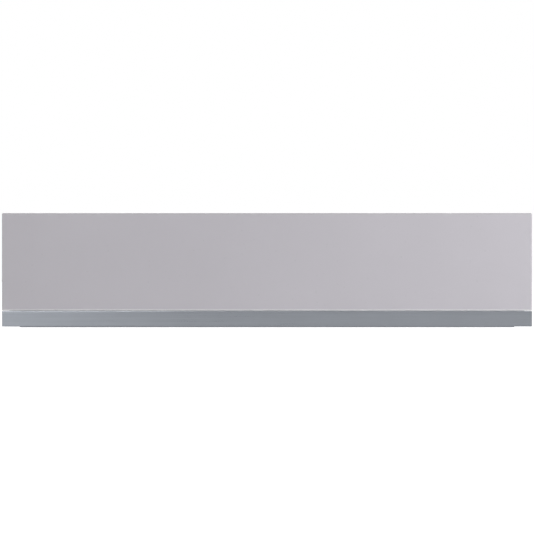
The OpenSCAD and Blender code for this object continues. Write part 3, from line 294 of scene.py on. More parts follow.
def laminations():
    """Stacked core plates, blued in places."""
    f = Finish("laminated_core", (0.16, 0.165, 0.17), metal=0.8, rough=0.5)
    plates = f.waves(320, 0.4, 1, "X")
    both = f.mixed(plates, 0.5, f.noise(70, detail=3))
    f.colour(f.shades(both, (0.06, 0.065, 0.08), (0.26, 0.26, 0.27), 0.2, 0.8))
    f.relief(plates, 0.08, 0.8)
    return f.material


def copper_winding():
    """Turns of varnished copper wire, side by side, with painted shade in the grooves between them."""
    f = Finish("varnished_copper_wire", (0.60, 0.25, 0.10), metal=1.0, rough=0.3, Coat_Weight=0.6,
               Coat_Roughness=0.15)
    turns = f.waves(620, 1.2, 2, "Z")
    # the colour darkens between the turns: painted shade in the grooves where the round wires meet, lighter
    # on their crests
    f.colour(f.shades(turns, (0.24, 0.07, 0.03), (0.70, 0.31, 0.13), 0.15, 0.8))
    f.relief(turns, 0.18, 0.9)
    return f.material


def tinted_lens(name, colour):
    """A clear tinted moulding, slightly uneven in depth."""
    f = Finish(name, colour, rough=0.12, Transmission_Weight=0.35, IOR=1.49, Coat_Weight=0.6,
               Coat_Roughness=0.05)
    depth = f.noise(300, detail=2)
    f.colour(f.shades(depth, toned(colour, 0.7), colour))
    f.rough(depth, 0.08, 0.2)
    return f.material


def printed(name, colour):
    """Screen-printed ink."""
    f = Finish(name, colour, rough=0.5)
    ink = f.noise(1800, detail=3)
    f.colour(f.shades(ink, toned(colour, 0.85), colour))
    f.rough(ink, 0.4, 0.6)
    return f.material


FINISH = {
    "glass_front": enamelled_glass(),
    "trim_metal": brushed("brushed_trim", (0.177, 0.188, 0.206), (0.205, 0.218, 0.238),
                          rough=(0.26, 0.34), spread=0.8),
    "stainless": brushed("brushed_stainless", (0.43, 0.43, 0.42), (0.60, 0.60, 0.59)),
    "galvanised": galvanised(),
    "runner_steel": plated("bright_runner_steel", (0.30, 0.315, 0.33), (0.46, 0.475, 0.49), rolled=True),
    "fastener": plated("plated_fasteners", (0.26, 0.26, 0.255), (0.44, 0.44, 0.425)),
    "black_plastic": moulded("black_moulding", (0.022, 0.022, 0.024)),
    "pale_plastic": moulded("pale_moulding", (0.66, 0.65, 0.61)),
    "mat_rubber": mat_silicone(),
    "element_sheath": element_sheath(),
    "insulation": mineral_board(),
    "core_steel": laminations(),
    "copper": copper_winding(),
    "lamp_lens": tinted_lens("amber_lens", (0.85, 0.33, 0.03)),
    "switch_red": moulded("red_rocker", (0.42, 0.022, 0.016), rough=(0.2, 0.3), depth=0.004,
                          Coat_Weight=0.4, Coat_Roughness=0.1),
    "lead_sheath": moulded("lead_sheath", (0.028, 0.028, 0.030), rough=(0.34, 0.46), grain=1200),
}
WHITE_INK = printed("white_ink", (0.78, 0.78, 0.76))
DARK_INK = printed("dark_ink", (0.035, 0.036, 0.04))
# Painted light: a near-white highlight along the glass's lower arris, for the light that the trim's ledge
# throws up onto it
PAINTED_LIGHT_EDGE = glass_edge("painted_light_glass_edge", (0.86, 0.87, 0.88), (0.96, 0.96, 0.97))
# Painted shade: the glass's upper arris is darker than the glass, for a dark surrounding above that it
# would reflect
PAINTED_SHADE_EDGE = glass_edge("painted_shade_glass_edge", (0.34, 0.33, 0.355), (0.38, 0.37, 0.395))


# ---- Making pieces ----

CORNER_ANGLE = 32


def corner_shading(bm):
    """Smooth shading that breaks at the shape's own corners."""
    for face in bm.faces:
        face.smooth = True
    for edge in bm.edges:
        edge.smooth = edge.is_manifold and edge.calc_face_angle(0) < math.radians(CORNER_ANGLE)


def keep(name, bm, body, slot, stands_for=(), finish=None):
    """Ends a piece: faces outwards, millimetres to metres, its finish and the body that it rides on.
    A piece without a body is attached to none."""
    bmesh.ops.recalc_face_normals(bm, faces=bm.faces)
    corner_shading(bm)
    bmesh.ops.scale(bm, vec=(MM, MM, MM), verts=bm.verts)
    mesh = bpy.data.meshes.new(name)
    bm.to_mesh(mesh)
    bm.free()
    mesh.materials.append(finish or FINISH[slot])
    piece = bpy.data.objects.new(name, mesh)
    bpy.context.scene.collection.objects.link(piece)
    if stands_for:
        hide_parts(*stands_for)
    if body:
        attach(piece, body)
        flats = piece.modifiers.new("flats_stay_flat", "WEIGHTED_NORMAL")
        flats.keep_sharp = True
    return piece


def of_kind(geom, kind=bmesh.types.BMVert):
    """The vertices, or the edges, among what an operator made."""
    return [item for item in geom if isinstance(item, kind)]


def loop(bm, points):
    """A closed line through points. Returns its vertices and its edges."""
    verts = [bm.verts.new(p) for p in points]
    return verts, [bm.edges.new(pair) for pair in zip(verts, verts[1:] + verts[:1])]


def block(bm, low, high):
    """A box between two corners."""
    low, high = Vector(low), Vector(high)
    place = Matrix.Translation((low + high) / 2) @ Matrix.Diagonal((*(high - low), 1))
    bmesh.ops.create_cube(bm, size=1, matrix=place)


def soften(bm, edges, width, segments):
    """Rounds edges off."""
    bmesh.ops.bevel(bm, geom=edges, offset=width, offset_type="OFFSET", segments=segments, profile=0.5,
                    affect="EDGES", material=-1, clamp_overlap=True)


def sharp_edges(bm, least, angle=40):
    """Edges longer than least between faces that turn by more than the angle."""
    return [e for e in bm.edges if e.is_manifold and e.calc_face_angle(0) > math.radians(angle)
            and e.calc_length() > least]


def axes(at, along, up=(0, 0, 1)):
    """A matrix whose Z runs along a direction, with its origin at a point."""
    z = Vector(along).normalized()
    x = Vector(up).cross(z)
    x = x.normalized() if x.length > 1e-6 else z.orthogonal().normalized()
    turn = Matrix((x, z.cross(x), z)).transposed().to_4x4()
    return Matrix.Translation(Vector(at)) @ turn


def turned(bm, profile, place, segments=32):
    """A profile of (radius, height) turned about the Z axis of a place."""
    fresh = bmesh.new()
    verts = [fresh.verts.new((r, 0, h)) for r, h in profile]
    edges = [fresh.edges.new(pair) for pair in zip(verts, verts[1:])]
    bmesh.ops.spin(fresh, geom=verts + edges, cent=(0, 0, 0), axis=(0, 0, 1), angle=2 * math.pi,
                   steps=segments, use_merge=True, use_duplicate=False)
    bmesh.ops.remove_doubles(fresh, verts=fresh.verts, dist=1e-4)
    merge(bm, fresh, place)


def merge(bm, fresh, place):
    """Adds a finished small mesh to a larger one, set by a matrix."""
    bmesh.ops.transform(fresh, matrix=place, verts=fresh.verts)
    mesh = bpy.data.meshes.new("part")
    fresh.to_mesh(mesh)
    fresh.free()
    bm.from_mesh(mesh)
    bpy.data.meshes.remove(mesh)


def prism(bm, outline, place, height):
    """A flat outline, set by a matrix, and pulled along the matrix's Z."""
    face = bm.faces.new([bm.verts.new(place @ Vector((x, y, 0))) for x, y in outline])
    pulled = bmesh.ops.extrude_face_region(bm, geom=[face])["geom"]
    bmesh.ops.translate(bm, verts=of_kind(pulled), vec=place.to_3x3() @ Vector((0, 0, height)))


def arc(centre, radius, start, end, steps):
    """Points of an arc between two angles in degrees."""
    angles = [math.radians(start + (end - start) * i / steps) for i in range(steps + 1)]
    return [(centre[0] + radius * math.cos(a), centre[1] + radius * math.sin(a)) for a in angles]


def rounded(low, high, radius, steps):
    """The outline of a rectangle with round corners."""
    corners = ((high[0], high[1], 0), (low[0], high[1], 90), (low[0], low[1], 180), (high[0], low[1], 270))
    inward = ((-1, -1), (1, -1), (1, 1), (-1, 1))
    return [p for (x, y, a), (sx, sy) in zip(corners, inward)
            for p in arc((x + sx * radius, y + sy * radius), radius, a, a + 90, steps)]


def circle(radius, steps, waves=0, depth=0.0):
    """A circle's points, which may be fluted."""
    points = []
    for i in range(steps):
        a = 2 * math.pi * i / steps
        r = radius - depth * (0.5 + 0.5 * math.cos(waves * a)) ** 2
        points.append((r * math.cos(a), r * math.sin(a)))
    return points


def hollow_prism(bm, outer, inner, place, height):
    """A ring between two outlines, pulled along the Z of its place."""
    fresh = bmesh.new()
    edges = [e for outline in (outer, inner) for e in loop(fresh, [(x, y, 0) for x, y in outline])[1]]
    faces = bmesh.ops.bridge_loops(fresh, edges=edges)["faces"]
    pulled = bmesh.ops.extrude_face_region(fresh, geom=faces)["geom"]
    bmesh.ops.translate(fresh, verts=of_kind(pulled), vec=(0, 0, height))
    merge(bm, fresh, place)


def lofted(bm, rings, closed=False):
    """A skin through rings of points that have the same count. A face closes the first ring, and the
    last one if asked."""
    before = None
    for ring in rings:
        verts, edges = loop(bm, ring)
        if before:
            bmesh.ops.bridge_loops(bm, edges=before + edges)
        else:
            bm.faces.new(verts)
        before = edges
    if closed:
        bm.faces.new(verts)


def copy_of(node):
    """A node's own shape in millimetres, with its flat faces whole again."""
    bm = bmesh.new()
    bm.from_mesh(NODES[node].data)
    bmesh.ops.scale(bm, vec=(1 / MM,) * 3, verts=bm.verts)
    bmesh.ops.remove_doubles(bm, verts=bm.verts, dist=1e-3)
    bmesh.ops.dissolve_limit(bm, angle_limit=math.radians(0.4), verts=bm.verts, edges=bm.edges)
    return bm


def eased(node, width, least, segments=2):
    """A copy of a node's own shape with its sharp edges longer than least broken."""
    bm = copy_of(node)
    soften(bm, sharp_edges(bm, least), width, segments)
    return keep(node + "_eased", bm, BODY_OF[node], SLOT_OF[node], [node])


def loose_parts(node):
    """The boxes of a node's separate solids, in millimetres."""
    bm = copy_of(node)
    left = set(bm.verts)
    boxes = []
    while left:
        stack = [left.pop()]
        found = list(stack)
        while stack:
            for edge in stack.pop().link_edges:
                for vert in edge.verts:
                    if vert in left:
                        left.discard(vert)
                        stack.append(vert)
                        found.append(vert)
        places = [v.co for v in found]
        boxes.append((Vector(map(min, zip(*places))), Vector(map(max, zip(*places)))))
    bm.free()
    return boxes


# ---- Front ----

GLASS_CORNER = 1.3
ARRIS_WIDTH = 1.05
ARRIS_DEPTH = 0.85
BACK_EDGE = 0.4


def glass_panel():
    """The glass, with small round corners and a rounded arris. Its lower arris is a painted highlight, for
    the light that the trim's ledge throws up, and its upper arris a painted shade, darker than the glass."""
    low, high = GLASS_LOW, GLASS_HIGH
    deep = high.y - low.y
    # the arris, the plain edge and the eased back edge, as (inset, depth behind the face)
    stations = [(ARRIS_WIDTH, 0), (0.6, 0.06), (0.26, 0.2), (0.07, 0.42), (0, ARRIS_DEPTH),
                (0, deep - BACK_EDGE), (0.12, deep - 0.12), (BACK_EDGE, deep)]
    rings = []
    for inset, behind in stations:
        outline = rounded((low.x + inset, low.z + inset), (high.x - inset, high.z - inset),
                          GLASS_CORNER - inset, 5)
        rings.append([(x, low.y + behind, z) for x, z in outline])
    bm = bmesh.new()
    lofted(bm, rings, closed=True)
    for face in bm.faces:
        mid = face.calc_center_median()
        if low.y < mid.y < low.y + ARRIS_DEPTH and abs(mid.x) < high.x - GLASS_CORNER:
            if mid.z < low.z + ARRIS_WIDTH:
                # the lower arris gets the painted highlight
                face.material_index = 1
            elif mid.z > high.z - ARRIS_WIDTH:
                # the upper arris gets the painted shade
                face.material_index = 2
    piece = keep("glass_front", bm, "drawer", "glass_front", ["glass_panel"])
    piece.data.materials.append(PAINTED_LIGHT_EDGE)
    piece.data.materials.append(PAINTED_SHADE_EDGE)


def trim_strip():
    """The extrusion, with a full lip, soft lower corners and a drip groove under its foot."""
    lip, wall, leg = 1.6, 2.0, 8
    corner, foot_edge = 0.8, 0.5
    # points of the groove, as (behind the front, above the foot's lower face)
    groove = [(7.0, 0), (6.6, 0.5), (5.4, 0.5), (5.0, 0)]
    front, foot = TRIM_LOW.y, TRIM_HIGH.y
    ledge = box_mm("glass_tape")[1].y
    floor, top = TRIM_LOW.z, TRIM_HIGH.z
    inside = front + wall + corner
    outline = (
        arc((front + lip, top - lip), lip, 180, 90, 10)
        + [(ledge, top), (ledge, top - leg), (ledge - wall, top - leg), (ledge - wall, top - wall)]
        + arc((inside, top - wall - corner), corner, 90, 180, 4)
        + arc((inside, floor + wall + corner), corner, 180, 270, 4)
        + arc((foot - foot_edge, floor + wall - foot_edge), foot_edge, 90, 0, 3)
        + arc((foot - foot_edge, floor + foot_edge), foot_edge, 0, -90, 3)
        + [(front + y, floor + z) for y, z in groove]
        + arc((front + corner, floor + corner), corner, 270, 180, 6))
    bm = bmesh.new()
    turn = Matrix(((0, 0, 1, TRIM_LOW.x), (1, 0, 0, 0), (0, 1, 0, 0), (0, 0, 0, 1)))
    prism(bm, outline, turn, TRIM_HIGH.x - TRIM_LOW.x)
    ends = [e for e in sharp_edges(bm, 0.02, 60)
            if all(abs(abs(v.co.x) - TRIM_HIGH.x) < 0.01 for v in e.verts)]
    soften(bm, ends, 0.15, 1)
    keep("trim_extrusion", bm, "drawer", "trim_metal", ["trim_strip"])


def buffers():
    """Soft front buffers: a domed stud on a flange."""
    flange = 0.45  # share of the height
    bm = bmesh.new()
    for low, high in loose_parts("front_buffers"):
        mid = (low + high) / 2
        r, h = (high.x - low.x) / 2, high.y - low.y
        dome = [(r - 0.5 - (r - 1.4) * (1 - math.cos(a)), h * (flange + (1 - flange) * math.sin(a)))
                for a in (0, 0.4, 0.8, 1.2, math.pi / 2)]
        turned(bm, [(r, 0), (r, h * flange)] + dome + [(0, h)], axes((mid.x, high.y, mid.z), (0, -1, 0)))
    keep("buffer_studs", bm, "housing", SLOT_OF["front_buffers"], ["front_buffers"])


# ---- Fasteners ----

CROSS_ARM = 0.55
SCREW_HEAD = 1.2
RIVET_HEAD = 0.6
MANDREL = 1.0
SHANK = 1.75
# A fastener narrower than the first is a plain pin, and one wider than the second is a screw
PIN_ACROSS = 5
SCREW_ACROSS = 6.5


def screw_head(bm, place, radius, height):
    """A low pan head with a cross recess."""
    fresh = bmesh.new()
    arm, reach = CROSS_ARM, radius * 0.55
    cross = [(arm, arm), (arm, reach), (-arm, reach), (-arm, arm), (-reach, arm), (-reach, -arm),
             (-arm, -arm), (-arm, -reach), (arm, -reach), (arm, -arm), (reach, -arm), (reach, arm)]
    flat = radius * 0.8
    angles = [math.atan2(y, x) for x, y in cross]
    inner, inner_edges = loop(fresh, [(x, y, height) for x, y in cross])
    ring_edges = loop(fresh, [(flat * math.cos(a), flat * math.sin(a), height) for a in angles])[1]
    bmesh.ops.bridge_loops(fresh, edges=inner_edges + ring_edges)
    pit = fresh.faces.new(inner)
    sunk = bmesh.ops.extrude_face_region(fresh, geom=[pit])["geom"]
    fresh.faces.remove(pit)
    bmesh.ops.translate(fresh, verts=of_kind(sunk), vec=(0, 0, -height * 0.75))
    bmesh.ops.scale(fresh, verts=of_kind(sunk), vec=(0.55, 0.55, 1))
    outer = [e for e in fresh.edges if e.is_boundary]
    for r, z in ((radius * 0.93, height * 0.72), (radius, height * 0.3), (radius, 0.0)):
        grown = bmesh.ops.extrude_edge_only(fresh, edges=outer)["geom"]
        for vert in of_kind(grown):
            vert.co = Vector((vert.co.x, vert.co.y, 0)).normalized() * r + Vector((0, 0, z))
        outer = of_kind(grown, bmesh.types.BMEdge)
    merge(bm, fresh, place)


def rivet_head(bm, place, radius, height):
    """A domed rivet with a small dimple where its mandrel broke off."""
    rings = 5
    dome = [(radius * math.cos(a), height * (0.25 + 0.75 * math.sin(a)))
            for a in (math.pi / 2 * i / rings for i in range(rings))]
    dome = [(r, z) for r, z in dome if r > MANDREL + 0.05]
    dimple = [(MANDREL, height), (MANDREL - 0.15, height * 0.45), (0, height * 0.45)]
    turned(bm, [(radius, 0)] + dome + dimple, place, 24)


def fasteners(node, body, name):
    """Draws each screw, rivet and pin of a node anew, at the place of its solid."""
    bm = bmesh.new()
    for low, high in loose_parts(node):
        size, mid = high - low, (low + high) / 2
        # the axis is the side that differs from the other two
        axis = max(range(3), key=lambda i: min(abs(size[i] - size[j]) for j in range(3) if j != i))
        along = Vector([float(i == axis) for i in range(3)])
        across = size[(axis + 1) % 3]
        if across < PIN_ACROSS:
            foot = [0 if i == axis else mid[i] for i in range(3)]
            rod = [(0, low[axis]), (across / 2, low[axis]), (across / 2, high[axis]), (0, high[axis])]
            turned(bm, rod, axes(foot, along), 16)
            continue
        head_kind, head = (screw_head, SCREW_HEAD) if across > SCREW_ACROSS else (rivet_head, RIVET_HEAD)
        ahead = head_side(node, axis, mid, across)
        seat = list(mid)
        seat[axis] = (high[axis] if ahead > 0 else low[axis]) - ahead * head
        place = axes(seat, ahead * along)
        head_kind(bm, place, across / 2, head)
        tail = size[axis] - head
        turned(bm, [(0, -tail), (SHANK - 0.25, -tail), (SHANK, -tail + 0.3), (SHANK, 0)], place, 16)
    keep(name, bm, body, SLOT_OF[node], [node])


def head_side(node, axis, mid, across):
    """1 where a fastener's head points along its axis, and -1 where it points against it."""
    flat = [i for i in range(3) if i != axis]
    rim = [v.co[axis] / MM for v in NODES[node].data.vertices
           if abs(math.hypot(*(v.co[i] / MM - mid[i] for i in flat)) - across / 2) < 0.05]
    return 1 if sum(rim) / len(rim) > mid[axis] else -1


# ---- Drawer ----

SHEET = 1.0
TUB_RIM = 13.4
TUB_CORNER = 24.0
TUB_FILLET = 10.0
RIM_ROLL = 1.5
GRILLE_LAP = (15, 4)


def tub():
    """The deep-drawn well: round corners, a soft turn into the floor and a rolled turn into the rim."""
    low, high = box_mm("tub")
    x0, y0, x1, y1 = low.x + TUB_RIM, low.y + TUB_RIM, high.x - TUB_RIM, high.y - TUB_RIM
    floor, rim = low.z + SHEET, high.z
    turn = [(SHEET + TUB_FILLET * (1 - math.sin(a)), floor + TUB_FILLET * (1 - math.cos(a)))
            for a in (math.radians(90 * i / 8) for i in range(9))]
    roll = [(SHEET - RIM_ROLL * (1 - math.cos(a)), rim - RIM_ROLL * (1 - math.sin(a)))
            for a in (math.radians(90 * i / 4) for i in range(5))]
    stations = turn + roll + [(-TUB_RIM + 0.4, rim), (-TUB_RIM, rim - 0.15)]
    bm = bmesh.new()
    lofted(bm, [[(x, y, z) for x, y in rounded((x0 + i, y0 + i), (x1 - i, y1 - i), TUB_CORNER - i, 12)]
                for i, z in stations])

    # the opening behind the grille, cut out of the rear wall
    grille_low, grille_high = box_mm("air_grille")
    side = grille_high.x - GRILLE_LAP[0]
    bottom, top = grille_low.z + GRILLE_LAP[1], grille_high.z - GRILLE_LAP[1]
    cuts = [((-side, 0, 0), (1, 0, 0)), ((side, 0, 0), (1, 0, 0)),
            ((0, 0, bottom), (0, 0, 1)), ((0, 0, top), (0, 0, 1))]
    for at, way in cuts:
        bmesh.ops.bisect_plane(bm, geom=bm.verts[:] + bm.edges[:] + bm.faces[:],
                               plane_co=at, plane_no=way)
    opening = []
    for face in bm.faces:
        mid = face.calc_center_median()
        if mid.y > y1 - 2 * SHEET and abs(mid.x) < side and bottom < mid.z < top:
            opening.append(face)
    bmesh.ops.delete(bm, geom=opening, context="FACES")

    # the skin looks inwards before it gets its thickness
    bmesh.ops.recalc_face_normals(bm, faces=bm.faces)
    centre = Vector((0, (y0 + y1) / 2, floor))
    middle = min(bm.faces, key=lambda f: (f.calc_center_median() - centre).length)
    if middle.normal.z < 0:
        bmesh.ops.reverse_faces(bm, faces=bm.faces)
    bmesh.ops.solidify(bm, geom=bm.faces[:], thickness=SHEET)
    keep("drawn_tub", bm, "drawer", SLOT_OF["tub"], ["tub"])


# ---- Controls ----

FLUTES = 18
FLUTE_DEPTH = 0.55
SCALE_STEPS = 10
INK = 0.05


def panel_top():
    """The height of the control panel's upper face, where the knob's foot stands just over it."""
    return box_mm("temperature_knob")[0].z - 0.3


def knob():
    """The temperature knob: a skirt with a printed scale, a fluted grip and a white pointer."""
    node = "temperature_knob"
    low, high = box_mm(node)
    mid, radius, tall = (low + high) / 2, (high.x - low.x) / 2, high.z - low.z
    place = axes((mid.x, mid.y, low.z), (0, 0, 1))
    bore, grip = 3.1, radius - 2
    bm = bmesh.new()
    turned(bm, [(bore, tall - 4), (bore, 0.2), (bore + 0.3, 0), (radius - 0.4, 0), (radius, 0.4),
                (radius, 1.2), (radius - 0.3, 1.7), (grip - 0.5, 2.0), (grip - 2, 2.0)], place, 72)
    fresh = bmesh.new()
    outlines = [(0.2, 1.9), (0.0, 2.4), (0.0, tall - 1.4), (0.25, tall - 0.7), (0.8, tall - 0.2),
                (1.6, tall)]
    lofted(fresh, [[(x, y, z) for x, y in circle(grip - i, FLUTES * 8, FLUTES, FLUTE_DEPTH)]
                   for i, z in outlines], closed=True)
    merge(bm, fresh, place)
    keep("knob_grip", bm, BODY_OF[node], SLOT_OF[node], [node])

    ink = bmesh.new()
    block(ink, (mid.x - 0.7, mid.y + 4, high.z - 0.3), (mid.x + 0.7, mid.y + grip - 1.5, high.z))
    for step in range(SCALE_STEPS):
        angle = math.radians(90 - 30 * step)
        out = Vector((math.cos(angle), math.sin(angle), 0))
        tick = axes(Vector((mid.x, mid.y, low.z + 1.78)) + out * (radius - 1.0), (0, 0, 1), out)
        # every third mark is a little larger
        half, end = (0.16, 0.45) if step % 3 else (0.28, 0.55)
        prism(ink, [(-0.75, -half), (-0.75, half), (end, half), (end, -half)], tick, 0.12)
    keep("knob_marks", ink, BODY_OF[node], SLOT_OF[node], finish=WHITE_INK)


def panel_marks():
    """The printed scale beside the knob, whose dots grow with the heat, and a ring round the lamp."""
    low, high = box_mm("temperature_knob")
    mid = (low + high) / 2
    top, reach = panel_top(), 15.6
    ink = bmesh.new()
    for step, angle in enumerate((50, 75, 100, 125, 235, 260, 285)):
        size = 0.45 + 0.15 * step
        a = math.radians(90 - angle)
        spot = axes((mid.x + reach * math.cos(a), mid.y + reach * math.sin(a), top), (0, 0, 1))
        turned(ink, [(0, 0), (size, 0), (size, INK), (0, INK)], spot, 20)
    lamp_low, lamp_high = box_mm("indicator_lamp")
    middle = (lamp_low + lamp_high) / 2
    hollow_prism(ink, circle(5.9, 40), circle(5.5, 40), axes((middle.x, middle.y, top), (0, 0, 1)), INK)
    keep("panel_marks", ink, "drawer", SLOT_OF["control_panel"], finish=DARK_INK)


def lamp_lens():
    """A faceted amber lens in a bright ring."""
    low, high = box_mm("indicator_lamp")
    mid, top = (low + high) / 2, panel_top()
    place = axes((mid.x, mid.y, top), (0, 0, 1))
    tall, below = high.z - top, top - low.z
    ring = bmesh.new()
    turned(ring, [(3.5, 0), (4.4, 0), (4.5, 0.2), (4.5, 0.7), (4.2, 1.0), (3.8, 1.05), (3.5, 0.8)],
           place, 48)
    keep("lamp_ring", ring, "drawer", "fastener")
    lens = bmesh.new()
    turned(lens, [(0, -below), (3.3, -below), (3.3, 0.0), (3.5, 0.3), (3.5, 1.0), (3.2, 1.5)], place, 16)
    turned(lens, [(3.2, 1.5), (2.3, tall - 0.25), (1.0, tall - 0.02), (0, tall)], place, 8)
    keep("lamp_lens", lens, "drawer", SLOT_OF["indicator_lamp"], ["indicator_lamp"])


def rocker():
    """The rocker with soft edges, and a bar and a ring printed on its two sides."""
    node = "switch_rocker"
    bm = copy_of(node)
    soften(bm, sharp_edges(bm, 4), 0.5, 4)
    keep("rocker_cap", bm, BODY_OF[node], SLOT_OF[node], [node])
    low, high = box_mm("switch_bezel")
    mid = (low + high) / 2
    # the rocker rests with one side down, and each side slopes from its middle to its end
    lean, rise, half = math.radians(7), 1.4, 11
    pin = Matrix.Translation((mid.x, mid.y, panel_top() - 2)) @ Matrix.Rotation(lean, 4, "Y")
    mark_x, bar, ring, ink_t = 6.0, (1.9, 0.3), (1.9, 1.35), 0.06
    ink = bmesh.new()
    for side in (-1, 1):
        spot = Matrix.Translation((side * mark_x, 0, 3.2 + mark_x * rise / half))
        face = pin @ spot @ Matrix.Rotation(-side * math.atan2(rise, half), 4, "Y")
        if side < 0:
            prism(ink, [(-bar[0], -bar[1]), (bar[0], -bar[1]), bar, (-bar[0], bar[1])], face, ink_t)
        else:
            hollow_prism(ink, circle(ring[0], 32), circle(ring[1], 32), face, ink_t)
    keep("rocker_marks", ink, BODY_OF[node], SLOT_OF[node], finish=WHITE_INK)


# ---- Leads and springs ----

def smoothed(points, times=2, reach=3):
    """Runs a moving average over a line of points, and keeps its ends."""
    last = len(points) - 1
    for _ in range(times):
        spans = [min(reach, i, last - i) for i in range(last + 1)]
        points = [sum(points[i - n:i + n + 1], Vector()) / (2 * n + 1) for i, n in enumerate(spans)]
    return points


def tube(name, points, radius, resolution):
    """A round tube along a line of points, in millimetres."""
    curve = bpy.data.curves.new(name, "CURVE")
    curve.dimensions = "3D"
    curve.bevel_depth = radius * MM
    curve.bevel_resolution = resolution
    curve.use_fill_caps = True
    spline = curve.splines.new("POLY")
    spline.points.add(len(points) - 1)
    for point, place in zip(spline.points, points):
        point.co = (*(Vector(place) * MM), 1)
    draft = bpy.data.objects.new(name + "_line", curve)
    bpy.context.scene.collection.objects.link(draft)
    mesh = bpy.data.meshes.new_from_object(draft.evaluated_get(bpy.context.evaluated_depsgraph_get()))
    bpy.data.objects.remove(draft)
    bm = bmesh.new()
    bm.from_mesh(mesh)
    bpy.data.meshes.remove(mesh)
    bmesh.ops.scale(bm, vec=(1 / MM,) * 3, verts=bm.verts)
    return bm


def coiled_lead():
    """The lead between the terminal box and the drawer: a curly cord that opens out with the drawer,
    drawn here in its rest shape only.
    """
    low, high = box_mm("coiled_lead")
    thick, curls, tail, steps = 5.0, 10, 7, 44
    radius = (high.z - low.z - thick) / 2
    middle = Vector(((low.x + high.x) / 2, 0, (low.z + high.z) / 2))
    pitch = (high.y - low.y - 2 * tail) / curls
    line = [Vector((radius, low.y + i, 0)) for i in range(tail)]
    for i in range(curls * steps + 1):
        a = 2 * math.pi * i / steps
        y = low.y + tail + pitch * a / (2 * math.pi)
        line.append(Vector((radius * math.cos(a), y, radius * math.sin(a))))
    line += [Vector((radius, high.y - i, 0)) for i in range(tail - 1, -1, -1)]
    line = [p + middle for p in smoothed(line)]
    piece = keep("curly_lead", tube("curly_lead", line, thick / 2, 3), None, SLOT_OF["coiled_lead"],
                 ["coiled_lead"])
    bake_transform(piece)


def latch_spring():
    """The latch's spring, with a closed turn at each end."""
    low, high = box_mm("latch_spring")
    wire, turns, steps = 0.8, 7, 24
    radius = (high.z - low.z - wire) / 2
    middle = Vector(((low.x + high.x) / 2, 0, (low.z + high.z) / 2))
    span = high.y - low.y - wire
    closed = 1.05 * wire
    free = (span - 2 * closed) / turns
    line = []
    for i in range((turns + 2) * steps + 1):
        t = i / steps
        a = 2 * math.pi * t
        y = min(t, 1) * closed + max(0, min(t - 1, turns)) * free + max(0, t - 1 - turns) * closed
        line.append(middle + Vector((radius * math.cos(a), low.y + wire / 2 + y, radius * math.sin(a))))
    piece = keep("plunger_spring", tube("plunger_spring", line, wire / 2, 1), None,
                 SLOT_OF["latch_spring"], ["latch_spring"])
    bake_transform(piece)


def gland():
    """The cable gland: a threaded body, a locknut, a hexagon and a ribbed clamping cap."""
    low, high = box_mm("cable_gland")
    mid = (low + high) / 2
    bore, thread, root, pitch = 4.25, 8.0, 7.3, 1.5
    nut_t, hex_t, facet = 5, 4, 0.8
    inside = box_mm("terminal_box")[1].y
    outside = inside + SHEET
    depth = inside - low.y
    rings = [(r, z + i * pitch) for i in range(int((depth - nut_t) / pitch))
             for r, z in ((thread, 0.2), (thread, 0.7), (root, 1.1), (root, 1.4))]
    bm = bmesh.new()
    turned(bm, [(bore, 0), (7.4, 0)] + rings
           + [(thread, depth - nut_t), (thread, depth + 3), (bore, depth + 3), (bore, 0)],
           axes((mid.x, low.y, mid.z), (0, 1, 0)), 36)
    for y, r, thick in ((inside - nut_t, 12.0, nut_t - 0.05), (outside, 11.0, hex_t)):
        fresh = bmesh.new()
        hollow_prism(fresh, circle(r, 6), circle(thread, 6), Matrix(), thick)
        corners = [e for e in fresh.edges if abs(e.verts[0].co.z - e.verts[1].co.z) > 1
                   and e.verts[0].co.xy.length > r - 1]
        soften(fresh, corners, facet, 3)
        merge(bm, fresh, axes((mid.x, y, mid.z), (0, 1, 0)))

    at_cap = axes((mid.x, outside + hex_t, mid.z), (0, 1, 0))
    tall = high.y - outside - hex_t
    mouth = 6.5
    profile = [(9.3, 0), (9.5, 0.4), (9.0, tall * 0.55), (7.6, tall * 0.85), (mouth, tall)]
    cap = bmesh.new()
    lofted(cap, [[(x, y, z) for x, y in circle(r, 96, 16, 0.5 if z < tall * 0.8 else 0.1)]
                 for r, z in profile])
    bmesh.ops.delete(cap, geom=[f for f in cap.faces if len(f.verts) > 8], context="FACES_ONLY")
    merge(bm, cap, at_cap)
    turned(bm, [(9.3, 0), (bore, 0)], at_cap, 48)
    turned(bm, [(mouth, tall), (5.9, tall - 0.2), (5.4, tall - 1.2), (bore, tall - 1.4), (bore, -1)],
           at_cap, 96)
    keep("ribbed_gland", bm, "housing", SLOT_OF["cable_gland"], ["cable_gland"])


# ---- All pieces, and finishes on the nodes that stay ----

glass_panel()
trim_strip()
buffers()
fasteners("housing_screws", "housing", "housing_fasteners")
fasteners("drawer_screws", "drawer", "drawer_fasteners")
tub()
knob()
panel_marks()
lamp_lens()
rocker()
coiled_lead()
latch_spring()
gland()
for sheet in ("side_wall_left", "side_wall_right", "rear_wall", "top_cover", "base_pan", "front_rail",
              "inner_front", "side_frame_left", "side_frame_right", "control_panel", "underpan",
              "blower_lid", "blower_box", "terminal_box", "front_carrier"):
    eased(sheet, 0.3, 12)
eased("anti_slip_mat", 0.3, 6)
eased("air_grille", 0.25, 6)
eased("switch_bezel", 0.4, 5, 3)

for node, item in NODES.items():
    if not item.hide_render:
        if not item.material_slots:
            item.data.materials.append(None)
        for held in item.material_slots:
            held.material = FINISH[SLOT_OF[node]]


# ---- Floor and light ----

BACKGROUND = 1.0
SOFT_LIGHT = 0.26
FLOOR_GLOW = 0.8
FLOOR_BELOW = 0.0002
FLOOR_REACH = 20


